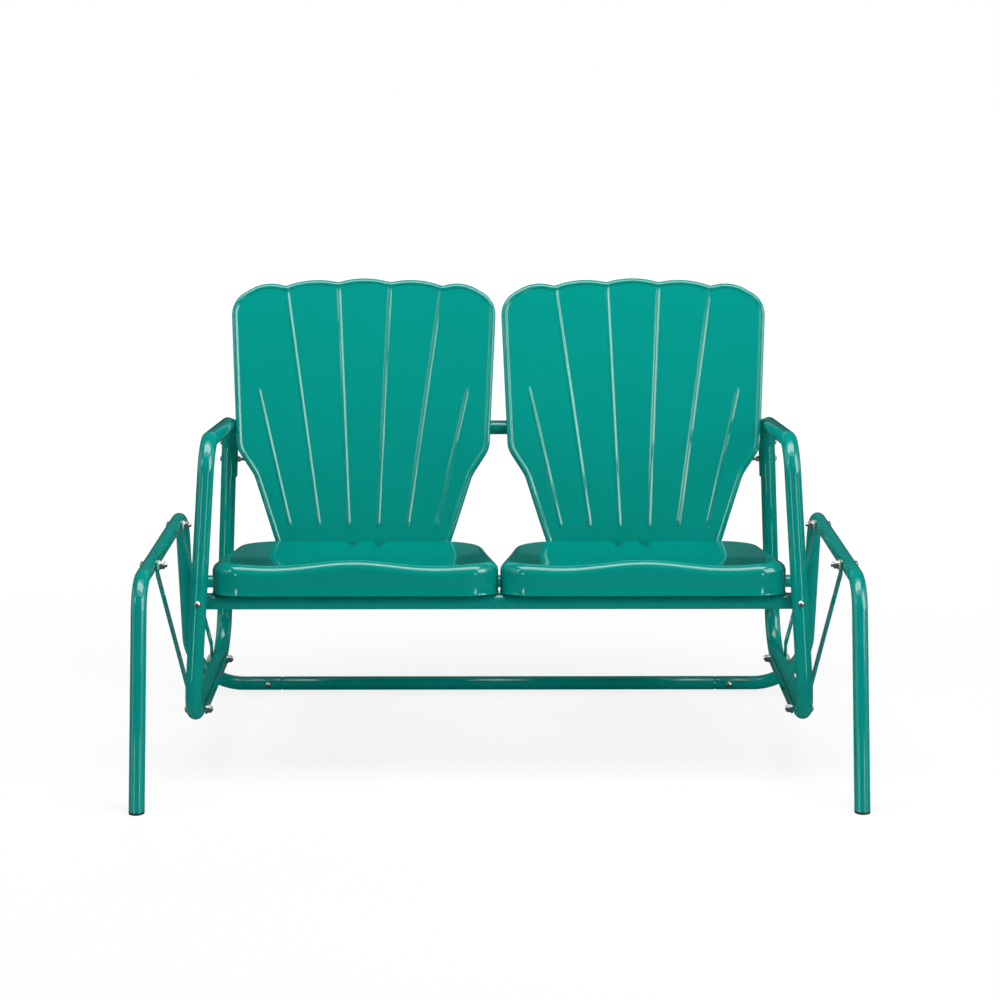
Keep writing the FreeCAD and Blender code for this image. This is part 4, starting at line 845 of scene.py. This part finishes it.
@dataclass
class SeatPans:
    """The two pressed seat pans."""

    finishes: Finishes
    sheet: float = 1.5
    centre_x: float = 261.39
    width: float = 519.78
    front_y: float = -209.0
    rear_y: float = 219.0
    outer_narrowing: float = 16.0
    inner_narrowing: float = 40.0
    front_corner: float = 62.0
    rear_corner: float = 90.0
    inner_rear_corner: float = 100.0
    edge_radius: float = 20.0
    edge_steps: int = 10
    hem: float = 1.2
    depth: float = 60.0
    slope_degrees: float = 7.0
    bar_y: float = -161.7
    rim_at_bar: float = 341.11
    dish: float = 15.0
    wave: float = 8.0
    wave_pitch: float = 0.66
    wave_fade: float = 3.0
    groove_at: float = 26.0
    groove_half: float = 15.0
    groove_depth: float = 9.0
    groove_start: float = 90.0
    groove_least: float = 0.02
    columns: int = 200
    rows: int = 120

    def rim(self, y: Array) -> Array:
        """Height of the rim's plane."""
        return self.rim_at_bar - math.tan(math.radians(self.slope_degrees)) * (y - self.bar_y)

    def top(self, x: Array, y: Array) -> Array:
        """Height of the seat's surface, with the two grooves at the rear pressed in.

        A plane parallel to the rim, less a dish that is half a sine wave from front to back and a
        parabola from side to side, plus a cosine wave across. The wave's pitch is a share of the
        width, and it fades backwards as the exponential of minus the fade times the share of the
        way back.
        """
        share = np.clip((y - self.front_y) / (self.rear_y - self.front_y), 0, 1)
        side = np.clip(np.abs(x) / (self.width / 2), 0, 1)
        dish = self.dish * np.sin(np.pi * share) * (1 - side ** 2)
        ripple = np.cos(2 * np.pi * x / (self.wave_pitch * self.width))
        wave = self.wave * ripple * np.exp(-self.wave_fade * share) * (1 - side ** 2)
        return self.rim(y) + self.depth - dish + wave - self.grooves(x, y)

    def grooves(self, x: Array, y: Array) -> Array:
        """Depth of the two grooves beside the middle at the rear, which end forward in a point.

        Across a groove the depth is a raised cosine. Its depth and width grow evenly backwards.
        """
        growth = smooth_share((y - self.groove_start) / (self.rear_y - self.groove_start))
        half = self.groove_half * np.maximum(growth, self.groove_least)
        offset = np.abs(np.abs(x) - self.groove_at) / half
        return self.groove_depth * growth * (0.5 + 0.5 * np.cos(np.pi * np.clip(offset, 0, 1)))

    def lift(self, x: Array, y: Array, drop: Array) -> Array:
        """A flat point's place: the surface's height, less the drop."""
        return np.stack([x, y, self.top(x, y) - drop], -1)

    def wall(self, x: Array, y: Array) -> Array:
        """How far below the surface the rim is."""
        return self.top(x, y) - self.rim(y)

    def build(self) -> None:
        """Makes and places both pans."""
        length = self.rear_y - self.front_y
        outer = self.width / 2 + self.outer_narrowing * self.front_corner / length
        inner = self.width / 2 + self.inner_narrowing * self.front_corner / length
        corners = np.array([(-outer, self.front_y), (inner, self.front_y),
                            (inner - self.inner_narrowing, self.rear_y),
                            (-outer + self.outer_narrowing, self.rear_y)])
        radii = (self.front_corner, self.front_corner, self.inner_rear_corner, self.rear_corner)
        sides, normals = outline_sides(corners, radii, (0, 1, 2, 3), (self.columns, self.rows))
        section = rolled_section(self.edge_radius, self.edge_steps)
        shell = PressedShell(sides, normals, section, self.wall, self.lift, self.hem)
        shell.build_pair(("pan_shell", "seat_pan"), self.finishes.paint, self.sheet, self.centre_x)


@dataclass
class SeatBacks:
    """The two pressed backs with a lobed top edge.

    The last lobe's corner is placed from the outermost hollow: out by a share of the pitch, and up
    by so many times the lobes' rise. Its radius is a share of the pitch too.
    """

    finishes: Finishes
    sheet: float = 1.5
    centre_x: float = 268.29
    foot_y: float = 219.0
    foot_z: float = 346.4
    recline_degrees: float = 17.5
    height: float = 532.5
    half_width: float = 263.79
    shoulder: tuple[float, float, float] = (250.29, 187.0, 50.0)
    waist: tuple[float, float, float] = (216.29, 135.0, 60.0)
    half_foot: float = 172.79
    lip: float = 42.0
    lip_corner: float = 16.0
    foot_corner: float = 30.0
    lobes: int = 5
    corner_lobe_extra: float = 2.5
    lobe_rise: float = 6.3
    lobe_fullness: float = 0.95
    last_lobe_out: float = 0.37
    last_lobe_up: float = 1.6
    last_lobe_radius: float = 0.76
    crown: float = 29.0
    cusp_radius: float = 4.5
    top_corner: float = 55.0
    edge_radius: float = 7.0
    edge_steps: int = 7
    bead_rise: float = 2.2
    bead_flank: float = 5.0
    rim_depth: float = 16.0
    rim_least: float = 1.0
    rim_growth: float = 50.0
    curve_radius: float = 1400.0
    curve_share: float = 0.4
    foot_bend: float = 8.0
    rib_height: float = 2.3
    rib_half: float = 5.2
    short_rib_foot: float = 143.29
    short_rib_head: float = 209.29
    short_rib_top: float = 312.0
    short_rib_taper: float = 0.8
    short_rib_fade: float = 12.0
    rib_foot_at: float = 26.0
    rib_gather: float = 0.55
    rib_overrun: float = 8.0
    rib_flare: float = 1.1
    rib_foot_fade: float = 14.0
    rib_head_fade: float = 4.0
    pull: float = 0.72
    pull_width: float = 15.0
    pull_ease_up: tuple[float, float] = (0.03, 0.015)
    pull_ease_across: float = 0.04
    pull_end: float = 30.0
    columns: int = 300
    rows: int = 96

    def crown_height(self, x: float) -> float:
        """Height of the hollows between the lobes: a parabola that falls to both sides."""
        return self.height - self.lobe_rise - self.crown * (x / self.half_width) ** 2

    def pitch(self) -> float:
        """From hollow to hollow: the corner lobes are a little wider than the others."""
        return 2 * (self.half_width - self.corner_lobe_extra) / self.lobes

    def cusps(self) -> list[float]:
        """How far out the hollows between the lobes are."""
        return [self.pitch() * (index + 0.5) for index in range(self.lobes // 2)]

    def lobe_top(self, low: float, high: float) -> tuple[tuple[float, float], float]:
        """The corner over a lobe and the radius that rounds it."""
        middle = (low + high) / 2
        chord = (self.crown_height(low) + self.crown_height(high)) / 2
        rise = self.crown_height(middle) + self.lobe_rise - chord
        half = (high - low) / 2
        return (middle, chord + 2 * rise), self.lobe_fullness * half * half / (2 * rise)

    def outline(self) -> tuple[Array, list[float], tuple[int, int, int, int]]:
        """The outline's corners, anticlockwise, their radii, and the four that part its sides."""
        pitch = self.pitch()
        outer = self.cusps()[-1]
        low = self.half_foot - self.lip / 2
        right: list[tuple[tuple[float, float], float]] = [
            ((low, -self.lip), self.lip_corner), ((self.half_foot, 0.0), self.foot_corner),
            (self.waist[:2], self.waist[2]), (self.shoulder[:2], self.shoulder[2]),
            ((self.half_width, self.crown_height(self.half_width) - 2 * self.lobe_rise), self.top_corner),
            ((outer + self.last_lobe_out * pitch,
              self.crown_height(outer) + self.last_lobe_up * self.lobe_rise), self.last_lobe_radius * pitch)]
        places = self.cusps()
        for index in reversed(range(len(places))):
            right.append(((places[index], self.crown_height(places[index])), self.cusp_radius))
            if index:
                right.append(self.lobe_top(places[index - 1], places[index]))
        left = [((-x, up), radius) for (x, up), radius in reversed(right)]
        ring = right + [self.lobe_top(-places[0], places[0])] + left
        ring = ring[-1:] + ring[:-1]
        corners = np.array([place for place, radius in ring])
        return corners, [radius for place, radius in ring], (0, 1, 5, len(ring) - 4)

    def depth(self, x: Array, up: Array) -> Array:
        """How far behind its plane the sheet is: it curves forward to both sides above its foot."""
        share = smooth_share(up / (self.curve_share * self.height))
        return -x * x / (2 * self.curve_radius) * share

    def rib_lines(self) -> list[tuple[tuple[float, float], tuple[float, float]]]:
        """Foot and head of the six ribs: four run to the hollows of the top edge, two are short."""
        full = [((self.rib_gather * cusp, self.rib_foot_at),
                 (cusp, self.crown_height(cusp) + self.rib_overrun)) for cusp in self.cusps()]
        short = ((self.short_rib_foot, self.rib_foot_at), (self.short_rib_head, self.short_rib_top))
        return [((sign * foot[0], foot[1]), (sign * head[0], head[1]))
                for sign in (-1, 1) for foot, head in (*full, short)]

    def ribs(self, x: Array, up: Array) -> Array:
        """Height of the ribs. The heads of the long ones run into the rim."""
        total = np.zeros_like(x)
        for foot, head in self.rib_lines():
            short = head[1] == self.short_rib_top
            half_head = (self.short_rib_taper if short else 1.0) * self.rib_half
            head_fade = self.short_rib_fade if short else self.rib_head_fade
            total = total + bead(x, up, foot, head, self.rib_flare * self.rib_half, half_head,
                                 self.rib_height, self.rib_foot_fade, head_fade)
        return total

    def towards_ribs(self, flat: Array) -> Array:
        """Draws the columns of the face's points together at the ribs, where the shape is finest.

        A point moves sideways towards each rib's line by a share of its distance, which falls as a
        bell: the exponential of minus the square of the distance over the width. The movement eases
        to nothing at the edges of the face and above the short ribs.
        """
        x, up = flat[..., 0], flat[..., 1]
        v = np.linspace(0, 1, flat.shape[0])[:, None]
        u = np.linspace(0, 1, flat.shape[1])[None, :]
        low, high = self.pull_ease_up
        side = self.pull_ease_across
        ease = (smooth_share(v / low) * smooth_share((1 - v) / high)
                * smooth_share(u / side) * smooth_share((1 - u) / side))
        moved = np.zeros_like(x)
        for foot, head in self.rib_lines():
            distance = x - foot[0] - (head[0] - foot[0]) * (up - foot[1]) / (head[1] - foot[1])
            reach = smooth_share((head[1] + self.pull_end - up) / self.pull_end)
            moved = moved + self.pull * reach * distance * np.exp(-(distance / self.pull_width) ** 2)
        return np.stack([x - moved * ease, up], -1)

    def lift(self, x: Array, up: Array, behind: Array) -> Array:
        """A flat point's place in space.

        The plane leans back from its foot, and below the foot it hangs upright. Between the two
        the lean sets in as a parabola, over the bend's length on either side of the foot.
        """
        lean = math.radians(self.recline_degrees)
        bend = self.foot_bend
        ramp = np.where(np.abs(up) < bend, (up + bend) ** 2 / (4 * bend), np.maximum(up, 0))
        share = smooth_share((up + bend) / (2 * bend))
        back = behind + self.depth(x, up) - self.ribs(x, up) * np.clip(1 - behind / self.edge_radius, 0, 1)
        y = self.foot_y + math.sin(lean) * ramp + back * (1 - share * (1 - math.cos(lean)))
        z = self.foot_z + up - (1 - math.cos(lean)) * ramp - back * math.sin(lean) * share
        return np.stack([x, y, z], -1)

    def wall(self, x: Array, up: Array) -> Array:
        """How deep the rim is: shallow around the foot, full above it."""
        low = self.edge_radius + self.rim_least
        return low + (self.rim_depth - low) * smooth_share(up / self.rim_growth)

    def build(self) -> None:
        """Makes and places both backs."""
        corners, radii, split = self.outline()
        sides, normals = outline_sides(corners, radii, split, (self.columns, self.rows))
        section = beaded_section(self.edge_radius, self.bead_rise, self.bead_flank, self.edge_steps)
        shell = PressedShell(sides, normals, section, self.wall, self.lift, arrange=self.towards_ribs)
        shell.build_pair(("back_shell", "seat_back"), self.finishes.paint, self.sheet, self.centre_x)


@dataclass
class Fittings:
    """Straight and small parts whose solids have the right shape: they get smooth, merged skins."""

    finishes: Finishes
    nodes: dict[str, bpy.types.Object]
    own: frozenset[str]
    sharp_degrees: float = 32.0

    def finish_of(self, slot: str) -> bpy.types.Material:
        """The material that dresses a slot of the record."""
        table = {"frame_paint": self.finishes.paint, "shell_paint": self.finishes.paint,
                 "zinc": self.finishes.zinc, "plain_steel": self.finishes.steel,
                 "nylon": self.finishes.nylon, "black_plastic": self.finishes.plastic}
        return table[slot]

    def build(self, subparts: Sequence[dict], body_of: dict[str, str]) -> None:
        """Makes a smooth skin for every part that no other piece stands for.

        Args:
            subparts: the record's list of nodes with their slots.
            body_of: node name to the body that it is in.
        """
        for part in subparts:
            node, slot = part["node"], part["material_slot"]
            if node in self.own:
                continue
            source = self.nodes[node].data
            points = np.empty(len(source.vertices) * 3, np.float32)
            source.vertices.foreach_get("co", points)
            source.calc_loop_triangles()
            corners = np.empty(len(source.loop_triangles) * 3, np.int32)
            source.loop_triangles.foreach_get("vertices", corners)
            piece = make_piece(f"{node}_skin", points.reshape(-1, 3) / MM, corners.reshape(-1, 3),
                               self.finish_of(slot), self.sharp_degrees)
            settle(piece, body_of[node], [node])


# Studio


@dataclass(frozen=True)
class Lamp:
    """A soft box that looks at a point. Places and sizes are in metres."""

    name: str
    at: tuple[float, float, float]
    to: tuple[float, float, float]
    size: tuple[float, float]
    watts: float
    reach: Reach = Reach.ALL

    def build(self) -> None:
        """Makes the lamp and turns it to its point."""
        data = bpy.data.lights.new(self.name, "AREA")
        data.shape = "RECTANGLE"
        data.size, data.size_y = self.size
        data.energy = self.watts
        lamp = bpy.data.objects.new(self.name, data)
        lamp.location = self.at
        lamp.visible_diffuse = self.reach is not Reach.GLOSS
        lamp.visible_glossy = self.reach is not Reach.EVEN
        direction = np.array(self.to) - np.array(self.at)
        level = math.hypot(direction[0], direction[1])
        lamp.rotation_euler = (math.atan2(level, -direction[2]), 0.0,
                               math.atan2(direction[1], direction[0]) - math.pi / 2)
        bpy.context.scene.collection.objects.link(lamp)


LAMPS = (
    Lamp("key_overhead", (0.0, -0.45, 2.6), (0, 0.05, 0.5), (3.2, 1.0), 58),
    Lamp("key_left", (-3.0, -1.7, 2.2), (0, 0.0, 0.5), (0.6, 0.9), 10),
    Lamp("key_right", (2.2, -2.6, 1.9), (0, 0.0, 0.5), (1.3, 1.5), 34, Reach.EVEN),
    Lamp("low_left", (-2.2, -3.0, 0.3), (0, 0.0, 0.4), (0.35, 0.9), 7),
    Lamp("low_right", (2.2, -3.0, 0.3), (0, 0.0, 0.4), (0.35, 0.9), 7),
    Lamp("behind", (0.0, 3.2, 2.2), (0, 0.3, 0.5), (3.0, 1.4), 60, Reach.EVEN),
    Lamp("gloss_right", (2.81, -1.43, 1.77), (0, 0.0, 0.5), (1.9, 2.1), 85, Reach.GLOSS),
    Lamp("gloss_overhead", (0.0, -0.6, 2.9), (0, -0.4, 0.5), (3.6, 2.4), 50, Reach.GLOSS),
)


@dataclass
class Studio:
    """A white room with soft lamps and the camera that was fitted to the photograph.

    The camera's place and the floor's sizes are in millimetres. The walls start and end at shares
    of the way to the side, and the shadow's reach is in metres.
    """

    camera_at: tuple[float, float, float] = (-13.07, -4154.0, 1352.5)
    yaw: float = 0.0036
    pitch: float = 0.2071
    lens: float = 81.534
    sensor: float = 36.0
    sight: float = 60.0
    room_light: float = 0.05
    wall_light: float = 0.9
    wall_span: tuple[float, float] = (0.75, 0.92)
    shadow_reach: tuple[float, float] = (1.1, 2.6)
    shadow_glow: tuple[float, float] = (0.8, 1.0)
    floor_glow: float = 1.04
    floor_colour: str = "eeeeee"
    floor_reflected: str = "5a5a5a"
    floor_half: float = 30000.0
    floor_drop: float = 0.4

    def camera(self) -> None:
        """Places the camera where the fit to the photograph put it."""
        data = bpy.data.cameras.new("camera")
        data.lens = self.lens
        data.sensor_width = self.sensor
        data.sensor_fit = "HORIZONTAL"
        data.clip_end = self.sight
        camera = bpy.data.objects.new("camera", data)
        camera.location = [value * MM for value in self.camera_at]
        camera.rotation_euler = (math.pi / 2 - self.pitch, 0.0, -self.yaw)
        bpy.context.scene.collection.objects.link(camera)
        bpy.context.scene.camera = camera

    def world(self) -> None:
        """A dim room with pale walls at both sides, and plain white where the camera sees it."""
        world = bpy.data.worlds.new("studio")
        world.use_nodes = True
        world.node_tree.nodes.clear()
        place = add_node(world, "ShaderNodeTexCoord")
        split = add_node(world, "ShaderNodeSeparateXYZ", links={0: place.outputs["Generated"]})
        aside = add_node(world, "ShaderNodeMath", {"operation": "ABSOLUTE"}, links={0: split.outputs["X"]})
        walls = self.ramp(world, aside.outputs[0], self.wall_span, (self.room_light, self.wall_light))
        room = add_node(world, "ShaderNodeBackground", values={"Color": (1.0, 1.0, 1.0, 1.0)},
                        links={"Strength": walls})
        white = add_node(world, "ShaderNodeBackground", values={"Color": (1.0, 1.0, 1.0, 1.0)})
        rays = add_node(world, "ShaderNodeLightPath")
        clear = add_node(world, "ShaderNodeMath", {"operation": "MAXIMUM"},
                         links={0: rays.outputs["Is Camera Ray"], 1: rays.outputs["Is Transmission Ray"]})
        mixed = add_node(world, "ShaderNodeMixShader",
                         links={0: clear.outputs[0], 1: room.outputs[0], 2: white.outputs[0]})
        add_node(world, "ShaderNodeOutputWorld", links={"Surface": mixed.outputs[0]})
        bpy.context.scene.world = world

    @staticmethod
    def ramp(owner: bpy.types.ID, source: bpy.types.NodeSocket, span: tuple[float, float],
             values: tuple[float, float]) -> bpy.types.NodeSocket:
        """A soft-ended ramp from one value to another over a span of the source."""
        node = add_node(owner, "ShaderNodeMapRange", {"interpolation_type": "SMOOTHSTEP"},
                        {1: span[0], 2: span[1], 3: values[0], 4: values[1]}, {0: source})
        return node.outputs[0]

    def floor(self) -> None:
        """A pale floor that keeps a faint shadow near the bench and fades to plain white around it."""
        material = new_material("studio_floor")
        rays = add_node(material, "ShaderNodeLightPath")
        place = add_node(material, "ShaderNodeTexCoord")
        reach = add_node(material, "ShaderNodeVectorMath", {"operation": "LENGTH"},
                         links={0: place.outputs["Object"]})
        far = self.ramp(material, reach.outputs["Value"], self.shadow_reach, self.shadow_glow)
        share = add_node(material, "ShaderNodeMath", {"operation": "MULTIPLY"},
                         links={0: rays.outputs["Is Camera Ray"], 1: far})
        tone = add_tint(material, (self.floor_colour, self.floor_reflected), rays.outputs["Is Glossy Ray"])
        matte = add_node(material, "ShaderNodeBsdfDiffuse", links={"Color": tone})
        glow = add_node(material, "ShaderNodeEmission", values={"Strength": self.floor_glow})
        mixed = add_node(material, "ShaderNodeMixShader",
                         links={0: share.outputs[0], 1: matte.outputs[0], 2: glow.outputs[0]})
        finish_material(material, mixed)
        corners = np.array([(-1, -1, 0), (1, -1, 0), (1, 1, 0), (-1, 1, 0)], float) * self.floor_half
        points = corners - np.array([0, 0, self.floor_drop])
        floor = make_piece("floor", points, np.array([[0, 1, 2, 3]]), material)

    def build(self) -> None:
        """Makes the room, its lamps and the camera."""
        scene = bpy.context.scene
        scene.view_settings.view_transform = "Standard"
        self.camera()
        self.world()
        self.floor()
        for lamp in LAMPS:
            lamp.build()


def main() -> None:
    """Builds the bench and its studio."""
    logging.basicConfig(level=logging.INFO, format="%(name)s: %(message)s")
    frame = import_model()
    studio = Studio()
    studio.build()
    finishes = Finishes()
    sizes = BenchSizes()
    BaseSides(sizes, finishes).build()
    SideLoops(sizes, finishes).build()
    SeatPans(finishes).build()
    SeatBacks(finishes).build()
    bodies = frame["record"]["behaviour"]["bodies"]
    body_of = {node: body for body, nodes in bodies.items() for node in nodes}
    own = frozenset(f"{kind}_{side}" for kind in ("base_side", "side_loop", "seat_pan", "seat_back")
                    for side in ("left", "right"))
    Fittings(finishes, frame["nodes"], own).build(frame["record"]["subparts"], body_of)


if __name__ == "__main__":
    main()
